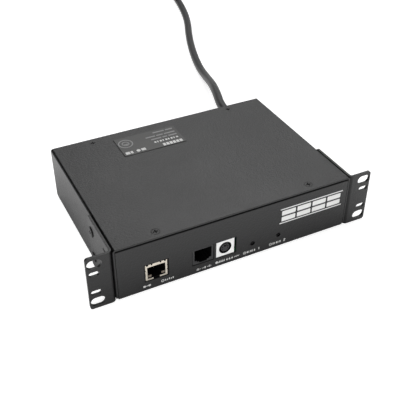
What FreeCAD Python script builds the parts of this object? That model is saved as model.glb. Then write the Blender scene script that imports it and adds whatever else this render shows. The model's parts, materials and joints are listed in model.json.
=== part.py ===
import FreeCAD, Part
import math
import os

from FreeCAD import Vector

# A rack power distribution unit, one rack unit high and half a rack wide, in millimetres.
# X runs along the front panel, Y runs from the front panel to the back, Z is up.
# The origin is under the middle of the case, on the surface it stands on.

# Case: a folded chassis and a folded cover that slides over it
case_width = 182.0  # over the cover's sides
case_depth = 132.0  # front panel to rear panel
case_height = 43.7  # one rack unit, less the usual clearance
sheet = 1.2
fold_radius = 0.8  # inside a fold
slide_gap = 0.25  # chassis to cover side
screw_lip = 12.0  # lip along the top of the front and rear panels
side_lip = 6.0  # low flange along each side of the floor
fold_relief = 1.0  # notch at each end of a side flange
lip_notch = 1.0  # clears the fold of the cover at each end of a lip
cover_ground_gap = 1.2  # the cover's side edges end this far above the ground
cover_corner = 1.8  # lower corners of the cover's sides

# Cover screws
cover_screw_side = 32.0  # from the sides of the case
cover_screw_inset = 6.0  # from the front and the rear
cover_screw_radius = 1.75
cover_screw_length = 6.0
cover_screw_head_radius = 3.3
cover_screw_recess = (0.45, 1.9, 0.9)  # half width of an arm, reach of an arm, depth

# Rack brackets: folded angles with a slotted ear each
bracket_sheet = 1.8
bracket_fold = 1.5
bracket_trim = 0.25  # lower than the case at each end
bracket_reach = 43.5  # along the side of the case
ear_reach = 18.4  # of each ear past the side of the case
ear_corner = 2.0
rack_pitch = 31.75  # between the large slots, one above the other
slot_inset = 5.8  # middle of a large slot, from the outer edge of the ear
slot_length = 10.1
slot_height = 6.8
small_slot_pitch = 15.8
small_slot_inset = 5.1
small_slot_length = 7.3
small_slot_height = 3.7
gauge_slot_length = 5.5  # small slot in the side of each bracket
gauge_slot_height = 1.6
gauge_slot_y = 11.5
gauge_slot_drop = 7.2  # below the top of the bracket
bracket_screw_y = 37.0
bracket_screw_edge = 10.45  # from the top and the bottom of the bracket
bracket_screw_radius = 2.0
bracket_screw_head_radius = 4.0
bracket_screw_head = 2.3
bracket_screw_rim = 0.35  # share of the head's height below its bevel
bracket_screw_top = 0.6  # share of the head's radius left above the bevel
bracket_screw_recess = (0.5, 1.7, 1.1)
bracket_screw_clearance = 0.2
bracket_nut_width = 7.0
bracket_nut_height = 2.2

# Boards, carried on standoffs above the floor
board_drop = 12.85  # upper faces of the boards, below the middle of the height
board_sheet = 1.6
board_left_gap = 15.0  # from the outside of the case
control_board_end = 19.1  # past the second lamp
power_board_right_gap = 5.0
board_front_gap = 1.0  # behind the front panel
control_board_depth = 42.0
power_board_depth = 40.0
power_board_rear_gap = 24.0  # in front of the rear panel
board_hole_inset = 4.5
standoff_width = 5.5
board_screw_radius = 1.5
board_screw_clearance = 0.2
board_screw_head_radius = 2.8
board_screw_head = 1.8
board_screw_length = 5.5
board_screw_slot = 0.8  # width and depth

# Front sockets, which stand on the control board and pass through the front panel
socket_recess = 0.3  # behind the face of the front panel
socket_clearance = 0.35
shield_sheet = 0.35
socket_width = 15.9
contact_count = 8
contact_pitch = 1.02
contact_sheet = 0.35
contact_foot = 1.8
contact_drop = 3.4
contact_reach = 8.5
contact_start = 3.0

ethernet_inset = 29.1  # from the left side of the case
ethernet_height = 13.5
ethernet_depth = 21.3
ethernet_window_width = 13.0
ethernet_window_bottom = 1.3
ethernet_window_top = 11.2
ethernet_window_gap = 4.6
ethernet_cavity_width = 11.9
ethernet_cavity_bottom = 4.4
ethernet_cavity_top = 11.1
ethernet_cavity_depth = 14.0
ethernet_latch_width = 6.4
ethernet_latch_bottom = 1.5
socket_led_width = 2.4
socket_led_height = 1.8
socket_led_depth = 4.0
socket_led_x = 4.8
socket_led_bottom = 2.3
finger_width = 2.9
finger_slit = 0.8
finger_notch = 1.1
finger_length = 8.0
finger_x = 4.9
finger_pad_length = 4.0
finger_rise = 0.25

config_step = 34.7  # from the socket before it
config_height = 13.0
config_depth = 16.0
config_cavity_width = 13.0
config_cavity_bottom = 3.1
config_cavity_top = 12.2
config_cavity_depth = 12.5
config_shoulder_width = 9.4
config_shoulder_bottom = 2.0
config_latch_width = 5.8
config_latch_bottom = 0.9

sensor_step = 17.2
sensor_width = 14.0
sensor_height = 13.0
sensor_depth = 12.8
sensor_gap_side = 1.5  # the panel opening is this much wider on one side
sensor_bore_radius = 4.85
sensor_core_radius = 3.9
sensor_bore_rise = 6.6  # above the board
sensor_well_depth = 8.0
sensor_well_radius = 4.5
sensor_core_recess = 0.3
sensor_pin_circle = 2.6
sensor_pin_radius = 0.5
sensor_pin_depth = 6.0
sensor_pin_recess = 1.0
sensor_pin_angles = (20.0, 70.0, 110.0, 160.0, 205.0, 335.0)
sensor_key_width = 2.2
sensor_key_height = 1.1
sensor_key_rise = 1.0

# Outlet lamps
lamp_step = 21.7  # from the sensor socket
lamp_pitch = 21.2
lamp_rise = 2.55  # above the board
lamp_radius = 1.5
lamp_dome = ((0, 0.4), (0.25, 0.75), (0.8, 1))  # shares of it: behind the tip, radius there
lamp_hole_radius = 1.8
lamp_recess = 0.7
lamp_holder_width = 5.0
lamp_holder_height = 5.0
lamp_holder_depth = 6.0
lamp_holder_gap = 0.6
lamp_seat = 3.5  # of the lamp in its holder

# Rear outlets: flat-blade sockets with an earth hole, pressed into the rear panel
outlet_inset = 41.0  # from the left side of the case
outlet_pitch = 58.0
outlet_face_width = 35.0
outlet_face_height = 27.0
outlet_face_corner = 4.0
outlet_face_proud = 1.6
outlet_body_width = 29.0
outlet_body_height = 23.0
outlet_body_depth = 19.0
outlet_back_wall = 2.0
outlet_face_wall = 3.0  # in front of the contact chambers
blade_spacing = 12.7
blade_drop = 11.9  # from the blades down to the earth pin
blade_rise = 5.0  # of the blades above the middle of the outlet
blade_slot_width = 2.0
line_slot_height = 7.0
neutral_slot_height = 8.4
earth_hole_width = 5.2
chamber_width = 3.6
chamber_height = 9.0
contact_leaf = 0.5
contact_depth = 11.0
earth_contact_gap = 0.2  # the contact is this much wider than the hole
earth_contact_wall = 0.5
tab_sheet = 0.8
tab_width = 6.3
tab_length = 7.0
sleeve_wall = 1.0
sleeve_tail = 1.6  # of the sleeve past the end of its tab
wire_radius = 1.2

# Parts on the control board: middle from its left edge, front from its front edge
processor_size = 14.0
processor_height = 1.6
processor_along = 50.0
processor_y = 26.0
magnetics_width = 17.0
magnetics_depth = 12.7
magnetics_height = 5.6
magnetics_y = 21.8
header_width = 17.0
header_depth = 5.0
header_height = 6.0
header_screw_gap = 2.2  # to the head of the screw beside it
header_inset = 5.0  # from the edges of the two boards that face each other
ribbon_width = 12.7
ribbon_sheet = 0.9
ribbon_rise = 5.0
ribbon_fold = 1.5

# Parts on the power board: middle from its left edge
relay_along = 26.0
relay_pitch = 33.0
relay_width = 28.0
relay_depth = 12.6
relay_height = 15.8
relay_rear_gap = 8.0  # to the rear edge of the board
transformer_along = 26.0
transformer_width = 32.0
transformer_depth = 15.5
transformer_height = 22.0
capacitor_along = 54.0
capacitor_radius = 6.3
capacitor_height = 20.0
small_part_y = 9.5  # middle of the front row, from the board's front edge
fuse_header_gap = 4.5  # to the ribbon header
fuse_radius = 2.6
fuse_glass_radius = 2.4
fuse_length = 20.0
fuse_cap = 5.0
fuse_rise = 5.0
fuse_clip_width = 3.0
fuse_clip_sheet = 0.8
terminal_pitch = 6.4
terminal_depth = 12.0
terminal_height = 17.5
terminal_well_radius = 2.2
terminal_well_depth = 4.0
terminal_rear_gap = 10.0
terminal_mouth_rise = 9.0  # of the leads' holes above the board
terminal_mouth_depth = 5.0
part_chamfer = 0.6

# Power cord, its grip in the rear panel and the leads inside
cord_inset = 16.2  # from the right side of the case
cord_radius = 4.0
grip_flange_radius = 9.0
grip_flange = 2.2
grip_length = 22.0
grip_root_radius = 7.4
grip_end_radius = 5.3
grip_neck_radius = 7.0
grip_neck_inside = 6.5
grip_groove_count = 3
grip_groove_width = 1.6
grip_groove_depth = 1.1
grip_nut_width = 20.0
grip_nut = 4.0
jacket_inside = 14.0
lead_radius = 1.3
lead_offset = 2.1
lead_turns = (210, 90, 330)  # places of the leads around the middle of the cord, in degrees
stud_step = 7.2  # from the cord
stud_forward = 18.0  # of the earth stud, in front of the rear panel
stud_radius = 2.0
stud_height = 7.0
strap_width = 8.0
strap_sheet = 0.9
strap_reach = 9.0
stud_nut_width = 7.0
stud_nut = 3.2

# Route of the cord behind the rear panel: across, back and up, down to the ground and away
cord_x = case_width / 2 - cord_inset
cord_rest = cord_radius + 0.05
cord_route = (
    (cord_x, grip_length, case_height / 2),
    (cord_x, 35.0, case_height / 2),
    (83.3, 60.0, 21.4),
    (91.8, 85.0, 17.0),
    (100.0, 112.0, 9.5),
    (108.0, 146.0, cord_rest),
    (119.5, 186.0, cord_rest),
    (134.2, 225.5, cord_rest),
    (151.0, 263.5, cord_rest),
    (163.4, 304.0, cord_rest),
    (172.2, 346.0, cord_rest),
    (179.6, 387.5, cord_rest),
)
run_share = 0.45  # of the shorter run, taken up by the arc at a corner

# Put-away coil of the cord, two layers high
coil_outer_turn = 52.0
coil_inner_turn = 33.0
coil_slack = 0.3
coil_layer = 2 * cord_radius + 0.05
coil_lead = 33.0  # straight cord beside the coil where it comes in
coil_tail = 32.0  # and where it goes out to the plug
coil_edge = 2.5

# Plug with two flat blades and a round earth pin
plug_grip_length = 28.0
plug_grip_radius = 9.5
plug_body_length = 30.0
plug_body_width = 30.0
plug_body_height = 23.6
plug_body_corner = 7.0
plug_face_edge = 2.0
plug_blade_length = 16.5
plug_blade_sheet = 1.5
plug_blade_width = 6.4
plug_blade_hole = 3.0
plug_pin_radius = 2.35
plug_pin_dome = ((1, 1), (0.3, 0.75), (0, 0.35))  # shares of it: before the tip, radius there
plug_pin_length = 19.5
plug_side = 3.4  # of the blades from the middle of the plug

# Margins of the construction
overcut = 0.1  # how far a cut runs past the wall it opens
touch = 0.01  # how near a plane an edge still counts as lying on it

# Places that follow from the sizes
front = -(case_depth + outlet_face_proud) / 2
rear = front + case_depth
middle_z = case_height / 2
cover_under = case_height - sheet
cover_inside = case_width / 2 - sheet
chassis_half = cover_inside - slide_gap
cover_screw_x = case_width / 2 - cover_screw_side
ear_edge = case_width / 2 + ear_reach
slot_x = ear_edge - slot_inset
small_slot_x = ear_edge - small_slot_inset
ethernet_x = ethernet_inset - case_width / 2
config_x = ethernet_x + config_step
sensor_x = config_x + sensor_step
lamp_x = (sensor_x + lamp_step, sensor_x + lamp_step + lamp_pitch)
outlet_x = (outlet_inset - case_width / 2, outlet_inset - case_width / 2 + outlet_pitch)
board_top = middle_z - board_drop
board_bottom = board_top - board_sheet
board_standoff = board_bottom - sheet
board_left = board_left_gap - case_width / 2
board_front_hole_x = (ethernet_x + config_x) / 2
control_board_right = lamp_x[1] + control_board_end
power_board_right = case_width / 2 - power_board_right_gap
header_right = (
    control_board_right - board_hole_inset - board_screw_head_radius - header_screw_gap
)
header_left = header_right - header_width
control_front = front + sheet + board_front_gap
control_rear = control_front + control_board_depth
power_rear = rear - sheet - power_board_rear_gap
power_front = power_rear - power_board_depth
socket_front = front + socket_recess
bracket_bottom = bracket_trim
bracket_top = case_height - bracket_trim
outlet_back = rear - sheet - outlet_body_depth
shield_top = board_top + ethernet_height
lamp_z = board_top + lamp_rise
sensor_z = board_top + sensor_bore_rise

LEFT_AND_RIGHT = (-1, 1)
EAST = Vector(1, 0, 0)
NORTH = Vector(0, 1, 0)
UP = Vector(0, 0, 1)


def box(x, y, z):
    """A block between the low and high values of each axis."""
    corner = Vector(x[0], y[0], z[0])
    return Part.makeBox(x[1] - x[0], y[1] - y[0], z[1] - z[0], corner)


def about(middle, size):
    """The low and high values of a size centred on the middle."""
    return (middle - size / 2, middle + size / 2)


def rod(start, way, radius):
    """A round bar that starts at a point and runs the whole way given."""
    return Part.makeCylinder(radius, way.Length, start, way)


def fused(shapes):
    """One solid of several that meet or overlap."""
    shapes = list(shapes)
    return shapes[0].multiFuse(shapes[1:]).removeSplitter()


def mirrored(shape):
    """The same shape on the other side of the middle."""
    return shape.mirror(Vector(0, 0, 0), EAST)


def bend(before, corner, after, radius):
    """Where an arc of this radius starts, its middle and where it ends, at a corner of a path."""
    towards = (corner - before).normalize()
    away = (after - corner).normalize()
    half_turn = towards.getAngle(away) / 2
    cut = radius * math.tan(half_turn)
    inward = (away - towards).normalize()
    middle = corner + inward * (radius / math.cos(half_turn) - radius)
    return corner - towards * cut, middle, corner + away * cut


def rounded_path(points, radii):
    """The edges of a path through the points, with an arc of its own radius at each corner."""
    edges = []
    start = points[0]
    for before, corner, after, radius in zip(points, points[1:], points[2:], radii):
        into, middle, out = bend(before, corner, after, radius)
        edges.append(Part.LineSegment(start, into).toShape())
        edges.append(Part.Arc(into, middle, out).toShape())
        start = out
    edges.append(Part.LineSegment(start, points[-1]).toShape())
    return edges


def rounded_face(points, radius):
    """A flat face with these corners, each rounded by the same radius."""
    edges = []
    corners = list(zip(points[-1:] + points[:-1], points, points[1:] + points[:1]))
    arcs = [bend(before, corner, after, radius) for before, corner, after in corners]
    for (_, _, start), (into, middle, out) in zip(arcs[-1:] + arcs[:-1], arcs):
        if start.distanceToPoint(into) > 1e-6:
            edges.append(Part.LineSegment(start, into).toShape())
        edges.append(Part.Arc(into, middle, out).toShape())
    return Part.Face(Part.Wire(edges))


def upright_plate(x, z, y, radius):
    """A plate seen from the front as a rectangle with rounded corners."""
    corners = [Vector(x[0], y[0], z[0]), Vector(x[1], y[0], z[0])]
    corners += [Vector(x[1], y[0], z[1]), Vector(x[0], y[0], z[1])]
    return rounded_face(corners, radius).extrude(NORTH * (y[1] - y[0]))


def side_slot(x, y, z):
    """A slot with round ends that runs along Y and is cut along X."""
    corners = [Vector(x[0], y[0], z[0]), Vector(x[0], y[1], z[0])]
    corners += [Vector(x[0], y[1], z[1]), Vector(x[0], y[0], z[1])]
    return rounded_face(corners, (z[1] - z[0]) / 2).extrude(EAST * (x[1] - x[0]))


def folded_sheet(points, across, thickness, inside):
    """A sheet folded along the points, to the left of their way as seen against across."""
    normal = Vector(across).normalize()
    ways = [(b - a).normalize() for a, b in zip(points, points[1:])]
    lefts = [normal.cross(way) for way in ways]

    def shifted(side):
        middle = [
            point + (one + other) * (side / (1 + one.dot(other)))
            for point, one, other in zip(points[1:-1], lefts, lefts[1:])
        ]
        ends = [points[0] + lefts[0] * side, points[-1] + lefts[-1] * side]
        turns_left = [after.dot(left) > 0 for left, after in zip(lefts, ways[1:])]
        radii = [inside + (thickness - side if left else side) for left in turns_left]
        return ends[:1] + middle + ends[1:], radii

    near, near_radii = shifted(0)
    far, far_radii = shifted(thickness)
    edges = rounded_path(near, near_radii) + rounded_path(far, far_radii)
    edges += [Part.LineSegment(a, b).toShape() for a, b in ((near[0], far[0]), (near[-1], far[-1]))]
    outline = Part.Wire(Part.__sortEdges__(edges))
    return Part.Face(outline).extrude(across)


def turned(profile, start, axis):
    """A solid turned about an axis from (distance along it, radius) pairs."""
    outline = [Vector(radius, 0, along) for along, radius in profile]
    outline = [Vector(0, 0, profile[0][0])] + outline + [Vector(0, 0, profile[-1][0])]
    face = Part.Face(Part.makePolygon(outline + outline[:1]))
    solid = face.revolve(Vector(0, 0, 0), UP, 360)
    solid.Placement = FreeCAD.Placement(start, FreeCAD.Rotation(UP, axis))
    return solid


def hexagon(middle, across_flats, height, way):
    """A six-sided nut blank whose first face is at the middle point."""
    radius = across_flats / math.sqrt(3)
    corners = [
        Vector(radius * math.cos(math.radians(turn)), radius * math.sin(math.radians(turn)), 0)
        for turn in range(0, 360, 60)
    ]
    blank = Part.Face(Part.makePolygon(corners + corners[:1])).extrude(UP * height)
    blank.Placement = FreeCAD.Placement(middle, FreeCAD.Rotation(UP, way))
    return blank


def screw(seat, axis, head, shank_radius, shank_length, recess):
    """A screw with a cross recess. Its head is (height above the seat, radius) pairs."""
    body = turned([(-shank_length, shank_radius), (0, shank_radius)] + head, Vector(0, 0, 0), UP)
    top = head[-1][0]
    half, arm, deep = recess
    cross = [
        box((-half, half), (-arm, arm), (top - deep, top + 1)),
        box((-arm, arm), (-half, half), (top - deep, top + 1)),
    ]
    body = body.cut(fused(cross))
    body.Placement = FreeCAD.Placement(seat, FreeCAD.Rotation(UP, axis))
    return body


def cover_screw_places():
    return [
        Vector(side * cover_screw_x, y, case_height)
        for y in (front + cover_screw_inset, rear - cover_screw_inset)
        for side in LEFT_AND_RIGHT
    ]


def bracket_screw_places():
    """The seats of the bracket screws on the right side of the case."""
    x = case_width / 2 + bracket_sheet
    heights = (bracket_bottom + bracket_screw_edge, bracket_top - bracket_screw_edge)
    return [Vector(x, front + bracket_screw_y, z) for z in heights]


def board_screw_places():
    """The middle of each board hole, at the top of the board."""
    left = board_left + board_hole_inset
    control_right = control_board_right - board_hole_inset
    power_right = power_board_right - board_hole_inset
    rows = (
        (control_front + board_hole_inset, board_front_hole_x, control_right),
        (control_rear - board_hole_inset, left, control_right),
        (power_front + board_hole_inset, left, power_right),
        (power_rear - board_hole_inset, left, power_right),
    )
    return [Vector(x, y, board_top) for y, *across in rows for x in across]


def countersink():
    """The cone of a cover screw's head, as deep as the cover sheet is thick."""
    return [(0, cover_screw_head_radius - sheet), (sheet, cover_screw_head_radius)]


def cover_screws():
    shank = cover_screw_length - sheet
    return [
        screw(place - UP * sheet, UP, countersink(), cover_screw_radius, shank, cover_screw_recess)
        for place in cover_screw_places()
    ]


def chassis():
    """Floor, front panel and rear panel of one sheet, with lips for the cover screws."""
    left = Vector(-chassis_half, 0, 0)
    trough_line = [
        left + Vector(0, front + screw_lip, cover_under),
        left + Vector(0, front, cover_under),
        left + Vector(0, front, 0),
        left + Vector(0, rear, 0),
        left + Vector(0, rear, cover_under),
        left + Vector(0, rear - screw_lip, cover_under),
    ]
    trough = folded_sheet(trough_line, EAST * (2 * chassis_half), sheet, fold_radius)

    corner = sheet + fold_radius
    flange_front = front + corner + fold_relief
    flange_rear = rear - corner - fold_relief
    for side in LEFT_AND_RIGHT:
        edge = sorted((side * (chassis_half - corner), side * (chassis_half + 1)))
        trough = trough.cut(box(edge, (front + corner, rear - corner), (-1, corner)))
    flange_line = [
        Vector(chassis_half, flange_front, side_lip),
        Vector(chassis_half, flange_front, 0),
        Vector(-chassis_half, flange_front, 0),
        Vector(-chassis_half, flange_front, side_lip),
    ]
    flanges = folded_sheet(flange_line, NORTH * (flange_rear - flange_front), sheet, fold_radius)
    body = fused([trough, flanges])
    for side in LEFT_AND_RIGHT:
        edge = sorted((side * (chassis_half - lip_notch), side * (chassis_half + 1)))
        upward = (cover_under - lip_notch, cover_under + 1)
        body = body.cut(box(edge, (front - 1, rear + 1), upward))

    front_panel = (front - 1, front + sheet + overcut)
    cuts = []
    for x, height in ((ethernet_x, ethernet_height), (config_x, config_height)):
        across = about(x, socket_width + 2 * socket_clearance)
        upward = (board_top - socket_clearance, board_top + height + socket_clearance)
        cuts.append(box(across, front_panel, upward))
    across = about(sensor_x, sensor_width + 2 * socket_clearance)
    across = (across[0], across[1] + sensor_gap_side - socket_clearance)
    upward = (board_top - socket_clearance, board_top + sensor_height + socket_clearance)
    cuts.append(box(across, front_panel, upward))
    for x in lamp_x:
        start = Vector(x, front_panel[0], lamp_z)
        cuts.append(rod(start, NORTH * (front_panel[1] - front_panel[0]), lamp_hole_radius))

    rear_panel = (rear - sheet - overcut, rear + 1)
    for x in outlet_x:
        opening = (about(x, outlet_body_width), rear_panel, about(middle_z, outlet_body_height))
        cuts.append(box(*opening))
    start = Vector(cord_x, rear_panel[0], middle_z)
    cuts.append(rod(start, NORTH * (rear_panel[1] - rear_panel[0]), grip_neck_radius))
    for place in cover_screw_places():
        cuts.append(rod(place - UP * (3 * sheet), UP * (3 * sheet), cover_screw_radius))
    return body.cut(cuts)


def cover():
    """Top and both sides of one sheet."""
    half = case_width / 2
    line = [
        Vector(-half, front, cover_ground_gap),
        Vector(-half, front, case_height),
        Vector(half, front, case_height),
        Vector(half, front, cover_ground_gap),
    ]
    body = folded_sheet(line, NORTH * case_depth, sheet, fold_radius)
    low_corners = [
        edge
        for edge in body.Edges
        if edge.BoundBox.ZMax < cover_ground_gap + touch and edge.BoundBox.XLength > sheet / 2
    ]
    body = body.makeFillet(cover_corner, low_corners)
    cuts = [turned(countersink(), place - UP * sheet, UP) for place in cover_screw_places()]
    for place in bracket_screw_places():
        hole = rod(
            place - EAST * (bracket_sheet + 2 * sheet),
            EAST * (bracket_sheet + 2 * sheet),
            bracket_screw_radius + bracket_screw_clearance,
        )
        cuts += [hole, mirrored(hole)]
    return body.cut(cuts)


def bracket():
    """The right bracket: a flange along the case and a slotted ear in line with the front."""
    half = case_width / 2
    line = [
        Vector(ear_edge, front, bracket_bottom),
        Vector(half, front, bracket_bottom),
        Vector(half, front + bracket_reach, bracket_bottom),
    ]
    upward = UP * (bracket_top - bracket_bottom)
    body = folded_sheet(list(reversed(line)), upward, bracket_sheet, bracket_fold)
    outer_corners = [
        edge
        for edge in body.Edges
        if edge.BoundBox.XMin > ear_edge - touch and edge.BoundBox.YLength > bracket_sheet / 2
    ]
    body = body.makeFillet(ear_corner, outer_corners)
    far_corners = [
        edge
        for edge in body.Edges
        if edge.BoundBox.YMin > front + bracket_reach - touch
        and edge.BoundBox.XLength > bracket_sheet / 2
    ]
    body = body.makeFillet(ear_corner, far_corners)

    ear = (front - 1, front + bracket_sheet + 1)
    flange = (half - 1, half + bracket_sheet + 1)
    cuts = []
    for z in about(middle_z, rack_pitch):
        across = about(slot_x, slot_length)
        cuts.append(upright_plate(across, about(z, slot_height), ear, slot_height / 2))
    for z in about(middle_z, small_slot_pitch):
        across = about(small_slot_x, small_slot_length)
        cuts.append(upright_plate(across, about(z, small_slot_height), ear, small_slot_height / 2))
    gauge = about(bracket_top - gauge_slot_drop, gauge_slot_height)
    cuts.append(side_slot(flange, about(front + gauge_slot_y, gauge_slot_length), gauge))
    for place in bracket_screw_places():
        radius = bracket_screw_radius + bracket_screw_clearance
        cuts.append(rod(place - EAST * (bracket_sheet + 1), EAST * (bracket_sheet + 2), radius))
    return body.cut(cuts)


def bracket_screws():
    radius = bracket_screw_head_radius
    height = bracket_screw_head
    head = [(0, radius), (bracket_screw_rim * height, radius)]
    head.append((height, bracket_screw_top * radius))
    shank = bracket_sheet + sheet + bracket_nut_height
    right = [
        screw(place, EAST, head, bracket_screw_radius, shank, bracket_screw_recess)
        for place in bracket_screw_places()
    ]
    return right + [mirrored(one) for one in right]


def bracket_nuts():
    """Nuts welded on the inside of the cover's sides."""
    nuts = []
    for place in bracket_screw_places():
        start = Vector(cover_inside, place.y, place.z)
        blank = hexagon(start, bracket_nut_width, bracket_nut_height, EAST * -1)
        nut = blank.cut(rod(start, EAST * -bracket_nut_height, bracket_screw_radius))
        nuts += [nut, mirrored(nut)]
    return nuts


def spring_contacts(x, roof, gap):
    """A row of bent wires that hang from the roof of a socket and slope down to its back."""
    y = socket_front + contact_start
    outline = [
        Vector(0, y, roof),
        Vector(0, y, roof - contact_sheet),
        Vector(0, y + contact_foot, roof - contact_sheet),
        Vector(0, y + contact_reach, roof - contact_drop),
        Vector(0, y + contact_reach + contact_sheet, roof - contact_drop + contact_sheet),
        Vector(0, y + contact_foot + contact_sheet, roof),
    ]
    wire = Part.Face(Part.makePolygon(outline + outline[:1])).extrude(EAST * (contact_pitch - gap))
    first = x - contact_pitch * contact_count / 2 + gap / 2
    return [
        wire.translated(EAST * (first + number * contact_pitch)) for number in range(contact_count)
    ]


def socket_hollow(x, start, steps, high, depth):
    """What a modular plug fills: (width, low) steps from its body down to its latch."""
    along = (start - 1, start + depth)
    top = board_top + high
    return fused([box(about(x, width), along, (board_top + low, top)) for width, low in steps])


def ethernet_shield():
    """A thin metal case with a window, notched fingers and an open underside."""
    across = about(ethernet_x, socket_width)
    along = (socket_front, socket_front + ethernet_depth)
    body = box(across, along, (board_top, shield_top))
    inside = box(
        about(ethernet_x, socket_width - 2 * shield_sheet),
        (along[0] + shield_sheet, along[1] - shield_sheet),
        (board_top - 1, shield_top - shield_sheet),
    )
    through = (along[0] - 1, along[0] + shield_sheet + overcut)
    low, high = board_top + ethernet_window_bottom, board_top + ethernet_window_top
    cuts = [inside, box(about(ethernet_x, ethernet_window_width), through, (low, high))]
    cuts.append(box(about(ethernet_x, ethernet_window_gap), through, (board_top - 1, low + 1)))

    slit_along = (along[0] - 1, along[0] + finger_length)
    top_slit = (shield_top - finger_notch, shield_top + 1)
    pads = []
    for side in LEFT_AND_RIGHT:
        middle = ethernet_x + side * finger_x
        for edge in about(middle, finger_width + finger_slit):
            cuts.append(box(about(edge, finger_slit), slit_along, top_slit))
        along_pad = about(along[0] + finger_length / 2, finger_pad_length)
        rise = (shield_top - shield_sheet / 2, shield_top + finger_rise)
        pads.append(box(about(middle, finger_width), along_pad, rise))
        wall = sorted(ethernet_x + side * (socket_width / 2 + end) for end in (-shield_sheet, 1))
        for edge in about(board_top + ethernet_height / 2, finger_width + finger_slit):
            cuts.append(box(wall, slit_along, about(edge, finger_slit)))
        outer = [socket_width / 2 - shield_sheet / 2, socket_width / 2 + finger_rise]
        pad_across = sorted(ethernet_x + side * value for value in outer)
        pad_up = about(board_top + ethernet_height / 2, finger_width)
        pads.append(box(pad_across, along_pad, pad_up))
    return fused([body.cut(cuts)] + pads)


def socket_led_block(side):
    """The small lamp window at one side of the latch."""
    across = about(ethernet_x + side * socket_led_x, socket_led_width)
    start = socket_front + shield_sheet
    bottom = board_top + socket_led_bottom
    return box(across, (start, start + socket_led_depth), (bottom, bottom + socket_led_height))


def ethernet_housing():
    across = about(ethernet_x, socket_width - 2 * shield_sheet)
    along = (socket_front + shield_sheet, socket_front + ethernet_depth - shield_sheet)
    body = box(across, along, (board_top, shield_top - shield_sheet))
    steps = [
        (ethernet_cavity_width, ethernet_cavity_bottom),
        (ethernet_latch_width, ethernet_latch_bottom),
    ]
    cuts = [
        socket_hollow(ethernet_x, along[0], steps, ethernet_cavity_top, ethernet_cavity_depth),
    ]
    cuts += [socket_led_block(side) for side in LEFT_AND_RIGHT]
    return body.cut(cuts)


def config_housing():
    across = about(config_x, socket_width)
    along = (socket_front, socket_front + config_depth)
    body = box(across, along, (board_top, board_top + config_height))
    steps = [
        (config_cavity_width, config_cavity_bottom),
        (config_shoulder_width, config_shoulder_bottom),
        (config_latch_width, config_latch_bottom),
    ]
    hollow = socket_hollow(config_x, along[0], steps, config_cavity_top, config_cavity_depth)
    return body.cut(hollow)


def sensor_shell():
    """The bright cap over the round socket, with a round window."""
    across = about(sensor_x, sensor_width)
    along = (socket_front, socket_front + sensor_depth)
    body = box(across, along, (board_top, board_top + sensor_height))
    inside = box(
        about(sensor_x, sensor_width - 2 * shield_sheet),
        (along[0] + shield_sheet, along[1] + 1),
        (board_top - 1, board_top + sensor_height - shield_sheet),
    )
    start = Vector(sensor_x, along[0] - 1, sensor_z)
    return body.cut([inside, rod(start, NORTH * 3, sensor_bore_radius)])


def sensor_pin_rods(start_depth, end_depth):
    """Rods at the six pin places, from one depth behind the face to another."""
    rods = []
    for turn in sensor_pin_angles:
        x = sensor_x + sensor_pin_circle * math.cos(math.radians(turn))
        z = sensor_z + sensor_pin_circle * math.sin(math.radians(turn))
        start = Vector(x, socket_front + start_depth, z)
        rods.append(rod(start, NORTH * (end_depth - start_depth), sensor_pin_radius))
    return rods


def sensor_body():
    """The block behind the cap, with the round well of the socket."""
    across = about(sensor_x, sensor_width - 2 * shield_sheet)
    along = (socket_front + shield_sheet, socket_front + sensor_depth)
    block = box(across, along, (board_top, board_top + sensor_height - shield_sheet))
    face = Vector(sensor_x, socket_front, sensor_z)
    return block.cut(rod(face, NORTH * sensor_well_depth, sensor_well_radius))


def sensor_core():
    """The round insulator that stands in the well, with pin holes and a key slot."""
    face = Vector(sensor_x, socket_front + sensor_core_recess, sensor_z)
    core = rod(face, NORTH * (sensor_well_depth - sensor_core_recess), sensor_core_radius)
    key_up = (sensor_z + sensor_key_rise, sensor_z + sensor_key_rise + sensor_key_height)
    key_along = (socket_front - 1, socket_front + sensor_pin_depth)
    key = box(about(sensor_x, sensor_key_width), key_along, key_up)
    return core.cut([key] + sensor_pin_rods(0, sensor_pin_depth))


def lamp(x):
    """A small round lamp with a domed tip, seated in its holder behind the panel."""
    tip = Vector(x, front + lamp_recess, lamp_z)
    length = sheet + lamp_holder_gap + lamp_seat - lamp_recess
    radius = lamp_radius
    dome = [(back * radius, share * radius) for back, share in lamp_dome]
    return turned(dome + [(length, radius)], tip, NORTH)


def lamp_holders():
    start = front + sheet + lamp_holder_gap
    along = (start, start + lamp_holder_depth)
    upward = (board_top, board_top + lamp_holder_height)
    bores = [rod(Vector(x, start, lamp_z), NORTH * lamp_seat, lamp_radius) for x in lamp_x]
    blocks = [box(about(x, lamp_holder_width), along, upward) for x in lamp_x]
    return [block.cut(bore) for block, bore in zip(blocks, bores)]


def board(right_edge, front_edge, rear_edge):
    """A circuit board with a hole near each corner."""
    body = box((board_left, right_edge), (front_edge, rear_edge), (board_bottom, board_top))
    radius = board_screw_radius + board_screw_clearance
    through = UP * (3 * board_sheet)
    holes = [rod(place - through / 2, through, radius) for place in board_screw_places()]
    return body.cut(holes)


def standoffs():
    """Hexagonal posts between the floor and the boards."""
    posts = []
    for place in board_screw_places():
        start = Vector(place.x, place.y, sheet)
        post = hexagon(start, standoff_width, board_standoff, UP)
        posts.append(post.cut(rod(start, UP * board_standoff, board_screw_radius)))
    return posts


def board_screws():
    head = [(0, board_screw_head_radius), (board_screw_head, board_screw_head_radius)]
    shank = [(-board_screw_length, board_screw_radius), (0, board_screw_radius)]
    slot_length = 2 * board_screw_head_radius
    screws = []
    for place in board_screw_places():
        top = place.z + board_screw_head
        across = about(place.x, board_screw_slot)
        slot = box(across, about(place.y, slot_length), (top - board_screw_slot, top + 1))
        screws.append(turned(shank + head, place, UP).cut(slot))
    return screws


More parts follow.
